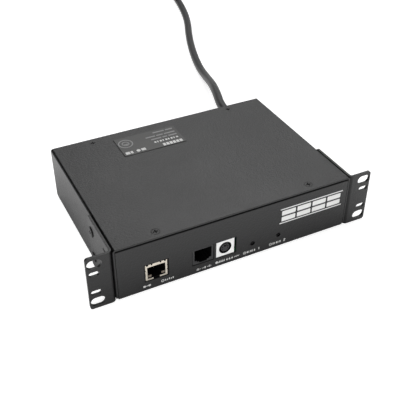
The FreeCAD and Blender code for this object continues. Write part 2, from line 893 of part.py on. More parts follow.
def part_on_board(x, width, along, height):
    """A plain moulded block that stands on a board, with its top edges bevelled."""
    body = box(about(x, width), along, (board_top, board_top + height))
    top = [edge for edge in body.Edges if edge.BoundBox.ZMin > board_top + height - touch]
    return body.makeChamfer(part_chamfer, top)


def header_spans():
    """Front and rear of the two ribbon headers, which face each other over the gap."""
    control = control_rear - header_inset
    power = power_front + header_inset
    return (control - header_depth, control), (power, power + header_depth)


def header(along):
    return box((header_left, header_right), along, (board_top, board_top + header_height))


def ribbon():
    """A flat cable that rises from one header, bends over and drops to the other."""
    spans = header_spans()
    start, end = [sum(span) / 2 + side * ribbon_sheet / 2 for span, side in zip(spans, (-1, 1))]
    low = board_top + header_height
    left = (header_left + header_right - ribbon_width) / 2
    line = [
        Vector(left, start, low),
        Vector(left, start, low + ribbon_rise),
        Vector(left, end, low + ribbon_rise),
        Vector(left, end, low),
    ]
    return folded_sheet(list(reversed(line)), EAST * ribbon_width, ribbon_sheet, ribbon_fold)


def capacitor():
    """An upright can with a bevelled rim."""
    radius = capacitor_radius
    place = Vector(board_left + capacitor_along, power_front + small_part_y, board_top)
    profile = [(0, radius), (capacitor_height - part_chamfer, radius)]
    profile.append((capacitor_height, radius - part_chamfer))
    return turned(profile, place, UP)


def fuse_axis():
    """The start of the fuse's axis, at its left end."""
    x = header_left - fuse_header_gap - fuse_length
    return Vector(x, power_front + small_part_y, board_top + fuse_rise)


def fuse():
    """A glass tube with a metal cap at each end."""
    inner = fuse_glass_radius
    profile = [(0, fuse_radius), (fuse_cap, fuse_radius), (fuse_cap, inner)]
    profile += [(fuse_length - fuse_cap, inner), (fuse_length - fuse_cap, fuse_radius)]
    profile.append((fuse_length, fuse_radius))
    return turned(profile, fuse_axis(), EAST)


def fuse_clips():
    """Two spring clips that hold the fuse by its caps."""
    clips = []
    start = fuse_axis()
    middles = (start.x + fuse_cap / 2, start.x + fuse_length - fuse_cap / 2)
    for x in middles:
        across = about(x, fuse_clip_width)
        width = 2 * (fuse_radius + fuse_clip_sheet)
        outer = box(across, about(start.y, width), (board_top, start.z + fuse_radius / 2))
        bore = rod(Vector(across[0], start.y, start.z), EAST * fuse_clip_width, fuse_radius)
        mouth_up = (start.z, start.z + fuse_radius)
        mouth = box(across, about(start.y, 2 * fuse_radius), mouth_up)
        foot_gap = (board_top + fuse_clip_sheet, start.z)
        hollow = box(across, about(start.y, fuse_radius), foot_gap)
        clips.append(outer.cut([bore, mouth, hollow]))
    return clips


def terminal_places():
    """The mouth of each terminal, in the rear face of the block."""
    y = power_rear - terminal_rear_gap
    z = board_top + terminal_mouth_rise
    return [Vector(cord_x + side * terminal_pitch, y, z) for side in (-1, 0, 1)]


def terminal_block():
    """A block with a mouth and a screw well for each lead."""
    mouths = terminal_places()
    rear_face = mouths[0].y
    width = terminal_pitch * len(mouths)
    along = (rear_face - terminal_depth, rear_face)
    body = part_on_board(cord_x, width, along, terminal_height)
    top = board_top + terminal_height
    wells = [
        rod(
            Vector(mouth.x, sum(along) / 2, top - terminal_well_depth),
            UP * (terminal_well_depth + 1),
            terminal_well_radius,
        )
        for mouth in mouths
    ]
    return body.cut(wells + mains_leads())


def blade_places(x):
    """Middle of each blade contact on an outlet, as (x, slot height)."""
    line_side = x - blade_spacing / 2
    neutral_side = x + blade_spacing / 2
    return (line_side, line_slot_height), (neutral_side, neutral_slot_height)


def earth_face(x, z, y):
    """The outline of an earth hole: half round below and square above."""
    half = earth_hole_width / 2
    start = Vector(x - half, y, z)
    end = Vector(x + half, y, z)
    arc = Part.Arc(start, Vector(x, y, z - half), end).toShape()
    square = Part.makePolygon([end, end + UP * half, start + UP * half, start])
    return Part.Face(Part.Wire([arc] + square.Edges))


def blade_z():
    return middle_z + blade_rise


def earth_z():
    return blade_z() - blade_drop


def outlet(x):
    """A moulded socket: rounded face, body through the panel, chambers and terminal slots."""
    face_z = about(middle_z, outlet_face_height)
    face_y = (rear, rear + outlet_face_proud)
    face = upright_plate(about(x, outlet_face_width), face_z, face_y, outlet_face_corner)
    body = box(
        about(x, outlet_body_width),
        (outlet_back, rear),
        about(middle_z, outlet_body_height),
    )
    outside = rear + outlet_face_proud
    chamber_y = (outlet_back + outlet_back_wall, outside - outlet_face_wall)
    mouth_y = (chamber_y[1] - overcut, outside + 1)
    cuts = []
    for middle, height in blade_places(x):
        cuts.append(box(about(middle, blade_slot_width), mouth_y, about(blade_z(), height)))
        cuts.append(box(about(middle, chamber_width), chamber_y, about(blade_z(), chamber_height)))
        cuts.append(tab(middle, blade_z()))
    mouth = earth_face(x, earth_z(), chamber_y[0])
    cuts.append(mouth.extrude(NORTH * (mouth_y[1] - chamber_y[0])))
    cuts.append(rod(Vector(x, chamber_y[0], earth_z()), NORTH * contact_depth, barrel()))
    cuts.append(tab(x, earth_z()))
    return fused([face, body]).cut(cuts)


def barrel():
    """Outside radius of the earth contact."""
    return earth_hole_width / 2 + earth_contact_gap + earth_contact_wall


def tab(x, z):
    """A flat terminal that runs through the back wall of the outlet and out behind it."""
    along = (outlet_back - tab_length, outlet_back + outlet_back_wall)
    return box(about(x, tab_sheet), along, about(z, tab_width))


def outlet_contacts(x):
    """Two spring forks and a round earth contact, each with its terminal tab."""
    start = outlet_back + outlet_back_wall
    pieces = []
    for middle, _ in blade_places(x):
        up = about(blade_z(), chamber_height - 1)
        fork = box(about(middle, chamber_width), (start, start + contact_depth), up)
        gap_y = (start + contact_leaf, start + contact_depth + 1)
        gap = box(about(middle, chamber_width - 2 * contact_leaf), gap_y, up)
        pieces.append(fused([fork.cut(gap), tab(middle, blade_z())]))
    foot = Vector(x, start, earth_z())
    ring = rod(foot, NORTH * contact_depth, barrel())
    bore = rod(foot + NORTH * contact_leaf, NORTH * contact_depth, barrel() - earth_contact_wall)
    pieces.append(fused([ring.cut(bore), tab(x, earth_z())]))
    return pieces


def outlet_wires(x):
    """Three insulated leads, from flag sleeves on the outlet's tabs down to the power board."""
    leads = []
    places = [(middle, blade_z()) for middle, _ in blade_places(x)] + [(x, earth_z())]
    for middle, z in places:
        along = (outlet_back - tab_length - sleeve_tail, outlet_back)
        across = about(middle, tab_sheet + 2 * sleeve_wall)
        sleeve = box(across, along, about(z, tab_width + 2 * sleeve_wall))
        sleeve = sleeve.cut(tab(middle, z))
        low = Vector(middle, along[0] + wire_radius, board_top)
        drop = rod(low, UP * (z - board_top), wire_radius)
        leads.append(fused([sleeve, drop.cut(tab(middle, z))]))
    return leads


def tube(points, radii, radius):
    """A round bar along a path of straight runs and arcs."""
    path = Part.Wire(rounded_path(points, radii))
    section = Part.Wire(Part.makeCircle(radius, points[0], points[1] - points[0]))
    solid = path.makePipeShell([section], True, False)
    return Part.Solid(solid) if solid.ShapeType == "Shell" else solid


def lead_places():
    """Where the three leads leave the cord's jacket inside the case: line, neutral, earth."""
    y = rear - jacket_inside
    return [
        Vector(
            cord_x + lead_offset * math.cos(math.radians(turn)),
            y,
            middle_z + lead_offset * math.sin(math.radians(turn)),
        )
        for turn in lead_turns
    ]


def mains_leads():
    """The line, neutral and earth leads, straight from the jacket into the terminal block."""
    leads = []
    for start, mouth in zip(lead_places(), terminal_places()):
        way = mouth - start
        reach = way * (1 + terminal_mouth_depth / way.Length)
        leads.append(rod(start, reach, lead_radius))
    return leads


def stud_place():
    return Vector(cord_x - stud_step, rear - stud_forward, sheet)


def earth_strap():
    """A bonding strip from the stud on the floor up to the underside of the power board."""
    place = stud_place()
    ring = rod(place, UP * strap_sheet, strap_width / 2)
    along = (place.y - strap_reach, place.y)
    foot = box(about(place.x, strap_width), along, (sheet, sheet + strap_sheet))
    post_along = (along[0], along[0] + strap_sheet)
    post = box(about(place.x, strap_width), post_along, (sheet, board_bottom))
    return fused([ring, foot, post]).cut(rod(place, UP * strap_sheet, stud_radius))


def earth_nut():
    start = stud_place() + UP * strap_sheet
    blank = hexagon(start, stud_nut_width, stud_nut, UP)
    return blank.cut(rod(start, UP * stud_nut, stud_radius))


def cord_grip():
    """A moulded strain relief: flange, neck through the panel and a tapered, grooved tail."""
    profile = [(-sheet - grip_neck_inside, grip_neck_radius), (0, grip_neck_radius)]
    profile += [(0, grip_flange_radius), (grip_flange, grip_flange_radius)]
    tail = grip_length - grip_flange
    pitch = tail / (grip_groove_count + 1)

    def radius_at(along):
        return grip_root_radius + (grip_end_radius - grip_root_radius) * along / tail

    profile.append((grip_flange, grip_root_radius))
    for number in range(1, grip_groove_count + 1):
        low = number * pitch - grip_groove_width / 2
        high = low + grip_groove_width
        bottom = radius_at(number * pitch) - grip_groove_depth
        profile += [(grip_flange + low, radius_at(low)), (grip_flange + low, bottom)]
        profile += [(grip_flange + high, bottom), (grip_flange + high, radius_at(high))]
    profile.append((grip_length, grip_end_radius))
    return turned(profile, Vector(cord_x, rear, middle_z), NORTH)


def grip_nut_ring():
    start = Vector(cord_x, rear - sheet - grip_nut, middle_z)
    blank = hexagon(start, grip_nut_width, grip_nut, NORTH)
    return blank.cut(rod(start, NORTH * grip_nut, grip_neck_radius))


def jacket_end():
    """The end of the cord's jacket inside the case."""
    start = rear - jacket_inside
    length = jacket_inside - sheet - grip_neck_inside
    jacket = rod(Vector(cord_x, start, middle_z), NORTH * length, cord_radius)
    return jacket.cut(mains_leads())


def route_points():
    return [Vector(x, rear + back, z) for x, back, z in cord_route]


def route_radii(points):
    """The largest arcs that the runs of a route have room for."""
    radii = []
    for before, corner, after in zip(points, points[1:], points[2:]):
        into = corner - before
        away = after - corner
        shorter = min(into.Length, away.Length)
        radii.append(run_share * shorter / math.tan(into.getAngle(away) / 2))
    return radii


def coil_heading():
    points = route_points()
    return (points[-1] - points[-2]).normalize()


def coil_middle():
    """The middle of the coil on the ground, to the left of the incoming cord."""
    heading = coil_heading()
    left = UP.cross(heading)
    touch = route_points()[-1] + heading * coil_lead
    middle = touch + left * coil_outer_turn
    return Vector(middle.x, middle.y, 0)


def coil_end():
    """Where the coil's tail meets the plug, at the height of the upper layer."""
    middle = coil_middle()
    z = cord_rest + coil_layer
    return Vector(middle.x - coil_tail, middle.y + coil_outer_turn, z)


def cord_coil():
    """The outer shape of the coil with its straight ends."""
    outer = coil_outer_turn + cord_radius + coil_slack
    inner = coil_inner_turn - cord_radius
    top = cord_rest + coil_layer + cord_radius + coil_slack
    middle = coil_middle()
    ring = rod(middle, UP * top, outer).cut(rod(middle, UP * top, inner))
    ring = ring.makeChamfer(coil_edge, [edge for edge in ring.Edges if edge.Closed])
    lead = rod(route_points()[-1], coil_heading() * coil_lead, cord_radius)
    tail = rod(coil_end(), EAST * coil_tail, cord_radius)
    return fused([ring, lead, tail])


def plug_body():
    """A moulded plug, tapered towards the cord, that lies on the ground beside the coil."""
    end = coil_end()
    grip = turned(
        [(0, grip_end_radius), (plug_grip_length, plug_grip_radius)],
        end,
        EAST * -1,
    )
    x = end.x - plug_grip_length
    corners = [
        Vector(x, end.y + across, end.z + up)
        for across, up in (
            (-plug_body_width / 2, -plug_body_height / 2),
            (plug_body_width / 2, -plug_body_height / 2),
            (plug_body_width / 2, plug_body_height / 2),
            (-plug_body_width / 2, plug_body_height / 2),
        )
    ]
    block = rounded_face(corners, plug_body_corner).extrude(EAST * -plug_body_length)
    back_edges = [edge for edge in block.Edges if edge.BoundBox.XMin > x - touch]
    block = block.makeChamfer(plug_face_edge, back_edges)
    return fused([grip, block])


def plug_blades():
    """Two flat blades, each with a hole near its tip."""
    end = coil_end()
    start = end.x - plug_grip_length - plug_body_length
    blades = []
    for side in LEFT_AND_RIGHT:
        y = end.y + side * blade_spacing / 2
        z = end.z + plug_side
        along = (start - plug_blade_length, start)
        blade = box(along, about(y, plug_blade_sheet), about(z, plug_blade_width))
        tip = [edge for edge in blade.Edges if edge.BoundBox.XMax < along[0] + touch]
        blade = blade.makeChamfer(plug_blade_sheet / 4, tip)
        through = NORTH * (2 * plug_blade_sheet)
        hole_start = Vector(along[0] + plug_blade_hole, y - plug_blade_sheet, z)
        blades.append(blade.cut(rod(hole_start, through, plug_blade_hole / 2)))
    return blades


def plug_pin():
    """The round earth pin, longer than the blades, with a rounded tip."""
    end = coil_end()
    x = end.x - plug_grip_length - plug_body_length
    start = Vector(x, end.y, end.z + plug_side - blade_drop)
    radius = plug_pin_radius
    dome = [(plug_pin_length - back * radius, share * radius) for back, share in plug_pin_dome]
    return turned([(0, radius)] + dome, start, EAST * -1)


def save(name, shapes):
    """Write one solid, or a group of separate solids, as one named piece."""
    shapes = shapes if isinstance(shapes, list) else [shapes]
    solids = [solid for shape in shapes for solid in shape.Solids]
    piece = solids[0] if len(solids) == 1 else Part.makeCompound(solids)
    assert all(solid.isValid() and solid.Volume > 0 for solid in solids), name
    piece.exportStep("parts/" + name + ".step")
    return piece


def main():
    os.makedirs("parts", exist_ok=True)
    save("base_chassis", chassis())
    save("top_cover", cover())
    save("cover_screws", cover_screws())
    save("right_rack_bracket", bracket())
    save("left_rack_bracket", mirrored(bracket()))
    save("bracket_screws", bracket_screws())
    save("bracket_nuts", bracket_nuts())

    wire_gap = contact_pitch / 2
    save("ethernet_socket_shield", ethernet_shield())
    save("ethernet_socket_housing", ethernet_housing())
    ethernet_roof = board_top + ethernet_cavity_top
    save("ethernet_socket_contacts", spring_contacts(ethernet_x, ethernet_roof, wire_gap))
    save("link_lamp", socket_led_block(-1))
    save("status_lamp", socket_led_block(1))
    save("config_socket_housing", config_housing())
    config_roof = board_top + config_cavity_top
    save("config_socket_contacts", spring_contacts(config_x, config_roof, wire_gap))
    save("sensor_socket_shell", sensor_shell())
    save("sensor_socket_body", sensor_body())
    save("sensor_socket_core", sensor_core())
    save("sensor_socket_contacts", sensor_pin_rods(sensor_pin_recess, sensor_pin_depth))
    for number, x in enumerate(lamp_x, 1):
        save(f"outlet_{number}_lamp", lamp(x))
    save("lamp_holders", lamp_holders())

    save("control_board", board(control_board_right, control_front, control_rear))
    chip_y = control_front + processor_y
    chip_span = (chip_y, chip_y + processor_size)
    chip_x = board_left + processor_along
    save("network_chip", part_on_board(chip_x, processor_size, chip_span, processor_height))
    magnetics_start = control_front + magnetics_y
    magnetics_span = (magnetics_start, magnetics_start + magnetics_depth)
    magnetics = part_on_board(ethernet_x, magnetics_width, magnetics_span, magnetics_height)
    save("network_transformer", magnetics)
    control_span, power_span = header_spans()
    save("control_board_header", header(control_span))
    save("power_board_header", header(power_span))
    save("ribbon_cable", ribbon())

    save("power_board", board(power_board_right, power_front, power_rear))
    relay_span = (power_rear - relay_rear_gap - relay_depth, power_rear - relay_rear_gap)
    for number in (1, 2):
        x = board_left + relay_along + (number - 1) * relay_pitch
        relay = part_on_board(x, relay_width, relay_span, relay_height)
        save(f"outlet_{number}_relay", relay)
    supply_span = about(power_front + small_part_y, transformer_depth)
    supply_x = board_left + transformer_along
    supply = part_on_board(supply_x, transformer_width, supply_span, transformer_height)
    save("supply_transformer", supply)
    save("supply_capacitor", capacitor())
    save("mains_fuse", fuse())
    save("fuse_clips", fuse_clips())
    save("terminal_block", terminal_block())
    save("board_standoffs", standoffs())
    save("board_screws", board_screws())

    for number, x in enumerate(outlet_x, 1):
        save(f"rear_outlet_{number}", outlet(x))
        save(f"outlet_{number}_contacts", outlet_contacts(x))
        save(f"outlet_{number}_wires", outlet_wires(x))
    for name, lead in zip(("line_lead", "neutral_lead", "earth_lead"), mains_leads()):
        save(name, lead)
    save("earth_stud", rod(stud_place(), UP * stud_height, stud_radius))
    save("earth_strap", earth_strap())
    save("earth_nut", earth_nut())

    save("cord_grip", cord_grip())
    save("cord_grip_nut", grip_nut_ring())
    save("cord_jacket_end", jacket_end())
    points = route_points()
    radii = route_radii(points)
    cord = save("power_cord", tube(points, radii, cord_radius))
    length = sum(edge.Length for edge in rounded_path(points, radii))
    section = math.pi * cord_radius**2
    print("cord arc radii:", [round(radius, 1) for radius in radii])
    print("cord volume over section times length:", round(cord.Volume / (section * length), 5))
    print("cord tube length:", round(length, 1))
    save("power_cord_coil", cord_coil())
    save("plug_body", plug_body())
    save("plug_blades", plug_blades())
    save("plug_earth_pin", plug_pin())


main()
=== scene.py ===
import json
import math

import bmesh
import bpy
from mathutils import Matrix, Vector


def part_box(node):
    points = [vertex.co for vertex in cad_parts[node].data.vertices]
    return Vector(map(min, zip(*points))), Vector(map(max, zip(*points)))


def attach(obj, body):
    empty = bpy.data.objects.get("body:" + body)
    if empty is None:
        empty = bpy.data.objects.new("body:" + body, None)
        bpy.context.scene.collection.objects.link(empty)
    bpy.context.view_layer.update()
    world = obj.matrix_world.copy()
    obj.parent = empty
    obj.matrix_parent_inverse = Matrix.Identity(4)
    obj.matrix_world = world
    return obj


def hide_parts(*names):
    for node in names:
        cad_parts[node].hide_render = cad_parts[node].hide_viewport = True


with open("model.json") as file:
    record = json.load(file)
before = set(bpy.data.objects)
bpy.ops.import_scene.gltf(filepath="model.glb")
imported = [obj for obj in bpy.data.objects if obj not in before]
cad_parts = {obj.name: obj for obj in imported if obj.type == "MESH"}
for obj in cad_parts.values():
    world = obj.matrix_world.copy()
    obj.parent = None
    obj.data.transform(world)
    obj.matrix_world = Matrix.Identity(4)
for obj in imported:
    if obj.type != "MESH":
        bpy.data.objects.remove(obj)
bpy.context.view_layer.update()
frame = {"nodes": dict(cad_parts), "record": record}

# Sizes and places are in millimetres unless a comment says otherwise. X runs along the front
# panel, Y from the front panel to the back, and Z is up.

MM = 0.001
MICRON = 0.000001
BODY = "root"
NODES = frame["nodes"]
SLOT_OF = {part["node"]: part["material_slot"] for part in frame["record"]["subparts"]}


def mm(*values):
    """A point given in millimetres, in metres."""
    return Vector(values) * MM


def span(node, axis):
    """Where a CAD piece starts and ends along an axis."""
    return tuple(round(corner["XYZ".index(axis)] / MM, 2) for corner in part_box(node))


def middle(node, axis):
    """The middle of a CAD piece along an axis."""
    return round(sum(span(node, axis)) / 2, 3)


def own(piece, slot, *replaced):
    """Hang a piece on the body and hide the CAD nodes that it stands for; its slot, what it is made
    of, is not used.
    """
    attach(piece, BODY)
    if replaced:
        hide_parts(*replaced)
    return piece


def link(name, data):
    """A new object in the scene."""
    piece = bpy.data.objects.new(name, data)
    bpy.context.scene.collection.objects.link(piece)
    return piece


def aim(piece, place, target):
    """Put a camera or a lamp at a place and turn it to a target, both in metres."""
    piece.location = place
    piece.rotation_mode = "QUATERNION"
    piece.rotation_quaternion = (target - place).to_track_quat("-Z", "Y")


# Places that come from the frame

FRONT, COVER_REAR = span("top_cover", "Y")
COVER_TOP = span("top_cover", "Z")[1]
CASE_SIDE = span("top_cover", "X")[1]
SHIELD_LEFT, SHIELD_RIGHT = span("ethernet_socket_shield", "X")
SHIELD_LOW, SHIELD_HIGH = span("ethernet_socket_shield", "Z")
SHIELD_FACE = span("ethernet_socket_shield", "Y")[0]


# Camera, fitted to the photograph

CAMERA_PLACE = mm(-190.28, -388.87, 332.06)
CAMERA_AIM = mm(0.175, -6.8, 13.4)
CAMERA_LENS = 63.157
CAMERA_SENSOR = 36.0
CAMERA_REACH = (0.02, 20.0)  # metres

camera_data = bpy.data.cameras.new("camera")
camera_data.lens = CAMERA_LENS
camera_data.sensor_width = CAMERA_SENSOR
camera_data.clip_start, camera_data.clip_end = CAMERA_REACH
camera = link("camera", camera_data)
aim(camera, CAMERA_PLACE, CAMERA_AIM)
bpy.context.scene.camera = camera


# Shader nodes

NOISE_RANGE = (0.3, 0.7)  # most values of a noise lie between these


def join(tree, value, socket):
    """Set a socket to a value, or link another node's output to it."""
    if isinstance(value, bpy.types.NodeSocket):
        tree.links.new(value, socket)
    else:
        socket.default_value = value


def add(tree, kind, settings, inputs):
    """A node with its settings and its inputs, which are named or numbered."""
    made = tree.nodes.new(kind)
    for name, value in settings.items():
        setattr(made, name, value)
    for key, value in inputs.items():
        join(tree, value, made.inputs[key])
    return made


def sums(tree, operation, *values):
    """The result of an operation on numbers."""
    made = add(tree, "ShaderNodeMath", {"operation": operation}, dict(enumerate(values)))
    return made.outputs[0]


def vector_sums(tree, operation, *values):
    """The outputs of an operation on vectors."""
    settings = {"operation": operation}
    return add(tree, "ShaderNodeVectorMath", settings, dict(enumerate(values))).outputs


def own_place(tree, output="Object"):
    """A point's place, or the way its face looks, in the part's own space."""
    return add(tree, "ShaderNodeTexCoord", {}, {}).outputs[output]


def axes(tree, vector):
    """The X, Y and Z of a vector."""
    return add(tree, "ShaderNodeSeparateXYZ", {}, {"Vector": vector}).outputs


def noise(tree, per_metre, detail=3.0, rough=0.55, seed=0.0):
    """Noise in the part's own space, with about this many grains in a metre."""
    inputs = {
        "Vector": own_place(tree),
        "W": seed,
        "Scale": per_metre,
        "Detail": detail,
        "Roughness": rough,
    }
    return add(tree, "ShaderNodeTexNoise", {"noise_dimensions": "4D"}, inputs).outputs["Fac"]


def ramp(tree, value, low, high, to_low=0.0, to_high=1.0):
    """Map a value from one range to another, held at the ends."""
    inputs = {
        "Value": value,
        "From Min": low,
        "From Max": high,
        "To Min": to_low,
        "To Max": to_high,
    }
    return add(tree, "ShaderNodeMapRange", {}, inputs).outputs["Result"]


def mix(tree, share, first, second, blend="MIX"):
    """Blend two colours by a share from 0 to 1."""
    settings = {"data_type": "RGBA", "blend_type": blend}
    return add(tree, "ShaderNodeMix", settings, {0: share, 6: first, 7: second}).outputs[2]


def bump(tree, surface, height, microns):
    """Raise a surface by a height from 0 to 1, times this many thousandths of a millimetre."""
    inputs = {"Height": height, "Distance": microns * MICRON, "Strength": 1.0}
    made = add(tree, "ShaderNodeBump", {}, inputs)
    join(tree, made.outputs["Normal"], surface.inputs["Normal"])


def shade(colour, factor=1.0):
    """A lighter or darker colour, with its alpha."""
    return (*[min(1.0, channel * factor) for channel in colour], 1.0)


def shader(name, colour, roughness, metallic=0.0, **sockets):
    """A new material and its node tree, with the constants set on the shader's own sockets."""
    material = bpy.data.materials.new(name)
    material.use_nodes = True
    tree = material.node_tree
    surface = tree.nodes["Principled BSDF"]
    surface.inputs["Base Color"].default_value = shade(colour)
    surface.inputs["Roughness"].default_value = roughness
    surface.inputs["Metallic"].default_value = metallic
    for socket, value in sockets.items():
        surface.inputs[socket.replace("_", " ")].default_value = value
    return material, tree, surface


# Materials. Grains are counted in a metre and heights are in thousandths of a millimetre

COAT_GRAINS = 1500.0
COAT_PEEL = 700.0
COAT_CLOUDS = 22.0
COAT_HEIGHT = 80.0
COAT_BLUE = 1.03
COAT_GLOSS = 0.42
PEEL_SHARE = 3.0  # height of the orange peel, in heights of the grain
BEND_TURN = (0.93, 0.99)  # a face that looks less than this along every axis is on a bend
FINE_GLOSS = 0.08  # how far a moulded surface's roughness strays
MOULD_CLOUDS = 60.0
DRAWN_LINES = (400.0, 400.0, 3200.0)
DRAWN_HEIGHT = 10.0
STAINS = 240.0
STAIN_RANGE = (0.35, 0.7)
SOCKET_GRAINS = 2600.0
SOCKET_HEIGHT = 20.0
SOCKET_GLOSS = (0.45, 0.03)  # at the panel's face and behind it
# share of the sockets' colour that is kept in their painted shade
RECESS_SHADE = 0.1
FACE_DEPTH = 0.62  # how far behind the panel's face the sockets go dark with painted shade
FADE_DEPTH = 0.03
LAMP_CLOUDS = 900.0
LACQUER = (0.012, 0.11, 0.05)
LACQUER_ON_COPPER = (0.03, 0.2, 0.08)
TRACKS = 90.0
TRACK_HEIGHT = 30.0
BLACK = (0, 0, 0, 1)
WHITE = (1, 1, 1, 1)


def fine_grain(tree, surface, roughness, grains, height):
    """A fine grain with uneven gloss."""
    fine = noise(tree, grains, 2.0, seed=3.0)
    gloss = (roughness - FINE_GLOSS, roughness + FINE_GLOSS)
    join(tree, ramp(tree, fine, *NOISE_RANGE, *gloss), surface.inputs["Roughness"])
    bump(tree, surface, fine, height)


def mottled(name, colour, roughness, grains, height, spread=0.08, **sockets):
    """A moulded or printed surface: slightly uneven colour and gloss, and a fine grain."""
    material, tree, surface = shader(name, colour, roughness, **sockets)
    cloud = ramp(tree, noise(tree, MOULD_CLOUDS, 4.0), *NOISE_RANGE)
    tint = mix(tree, cloud, shade(colour, 1 - spread), shade(colour, 1 + spread))
    join(tree, tint, surface.inputs["Base Color"])
    fine_grain(tree, surface, roughness, grains, height)
    return material


def bends(tree):
    """1 on folds and rounded edges, 0 on the flats, from the way a face looks."""
    sizes = axes(tree, vector_sums(tree, "ABSOLUTE", own_place(tree, "Normal"))[0])
    most = sums(tree, "MAXIMUM", sums(tree, "MAXIMUM", sizes["X"], sizes["Y"]), sizes["Z"])
    return ramp(tree, most, *BEND_TURN, 1.0, 0.0)


def powder_coat(name, dark, rough, bend_dulling_and_shade=0.8):
    """Satin black powder coat: a fine grain, uneven gloss, and duller bends whose colour is
    darkened as painted shade.
    """
    colour = (dark, dark, dark * COAT_BLUE)
    material, tree, surface = shader(name, colour, rough)
    bend = bends(tree)
    gloss = ramp(tree, bend, 0.0, 1.0, COAT_GLOSS, COAT_GLOSS * (1 - bend_dulling_and_shade))
    join(tree, gloss, surface.inputs["Specular IOR Level"])
    grain = noise(tree, COAT_GRAINS, 3.0, 0.6)
    orange_peel = noise(tree, COAT_PEEL, 2.0, 0.5, 7.0)
    slow = noise(tree, COAT_CLOUDS, 4.0, 0.6, 2.0)
    speckle = ramp(tree, grain, 0.25, 0.75, 0.7, 1.3)
    cloud = ramp(tree, slow, *NOISE_RANGE, 0.85, 1.15)
    coat = sums(tree, "MULTIPLY", speckle, cloud)
    # Painted shade: the colour darkens on bends and rounded edges, standing in for the dark
    # reflections that folds show.
    painted_bend_shade = ramp(tree, bend, 0.0, 1.0, 1.0, 1 - bend_dulling_and_shade)
    tint = mix(tree, 1.0, shade(colour), sums(tree, "MULTIPLY", coat, painted_bend_shade), "MULTIPLY")
    join(tree, tint, surface.inputs["Base Color"])
    uneven = ramp(tree, sums(tree, "ADD", grain, slow), 0.7, 1.3, rough - 0.05, rough + 0.05)
    join(tree, uneven, surface.inputs["Roughness"])
    height = sums(tree, "MULTIPLY_ADD", orange_peel, PEEL_SHARE, grain)
    bump(tree, surface, height, COAT_HEIGHT)
    return material


def plated(name, colour, roughness):
    """Plated metal with a fine drawn grain and faint stains."""
    material, tree, surface = shader(name, colour, roughness, 1.0)
    inputs = {"Vector": own_place(tree), "Scale": DRAWN_LINES}
    stretched = add(tree, "ShaderNodeMapping", {}, inputs).outputs[0]
    inputs = {"Vector": stretched, "Scale": 1.0, "Detail": 2.0}
    lines = add(tree, "ShaderNodeTexNoise", {}, inputs).outputs["Fac"]
    stain = ramp(tree, noise(tree, STAINS, 4.0, 0.6, 5.0), *STAIN_RANGE)
    tint = mix(tree, stain, shade(colour, 1.04), shade(colour, 0.86))
    join(tree, tint, surface.inputs["Base Color"])
    rough = ramp(tree, lines, *NOISE_RANGE, roughness - 0.07, roughness + 0.1)
    join(tree, rough, surface.inputs["Roughness"])
    bump(tree, surface, lines, DRAWN_HEIGHT)
    return material


def socket_plastic(name, colour, roughness):
    """Black plastic of the sockets, with painted shade: its colour and gloss die away behind the
    panel's face.
    """
    material, tree, surface = shader(name, colour, roughness)
    face = (FRONT + FACE_DEPTH) * MM
    # Painted shade in the recesses: colour and gloss fade out with depth behind the panel's face.
    recess_shade = ramp(tree, axes(tree, own_place(tree))["Y"], face, face + FADE_DEPTH * MM)
    tint = mix(tree, recess_shade, shade(colour), shade(colour, RECESS_SHADE))
    join(tree, tint, surface.inputs["Base Color"])
    gloss = ramp(tree, recess_shade, 0.0, 1.0, *SOCKET_GLOSS)
    join(tree, gloss, surface.inputs["Specular IOR Level"])
    fine_grain(tree, surface, roughness, SOCKET_GRAINS, SOCKET_HEIGHT)
    return material


def clear_lamp(name, colour, roughness, gloss):
    """Tinted clear resin with a cloudy heart."""
    material, tree, surface = shader(name, colour, roughness, Specular_IOR_Level=gloss)
    cloud = ramp(tree, noise(tree, LAMP_CLOUDS, 2.0), *STAIN_RANGE)
    tint = mix(tree, cloud, shade(colour, 1.1), shade(colour, 0.7))
    join(tree, tint, surface.inputs["Base Color"])
    return material


def solder_mask():
    """Green lacquer over faint copper tracks."""
    material, tree, surface = shader("solder_mask", LACQUER, 0.3)
    settings = {"offset": 0.37, "offset_frequency": 3, "squash": 0.6, "squash_frequency": 2}
    inputs = {
        "Vector": own_place(tree),
        "Color1": BLACK,
        "Color2": BLACK,
        "Mortar": WHITE,
        "Scale": TRACKS,
        "Mortar Size": 0.05,
        "Bias": 0.0,
    }
    tracks = add(tree, "ShaderNodeTexBrick", settings, inputs).outputs["Fac"]
    tint = mix(tree, tracks, shade(LACQUER), shade(LACQUER_ON_COPPER))
    join(tree, tint, surface.inputs["Base Color"])
    bump(tree, surface, tracks, TRACK_HEIGHT)
    return material


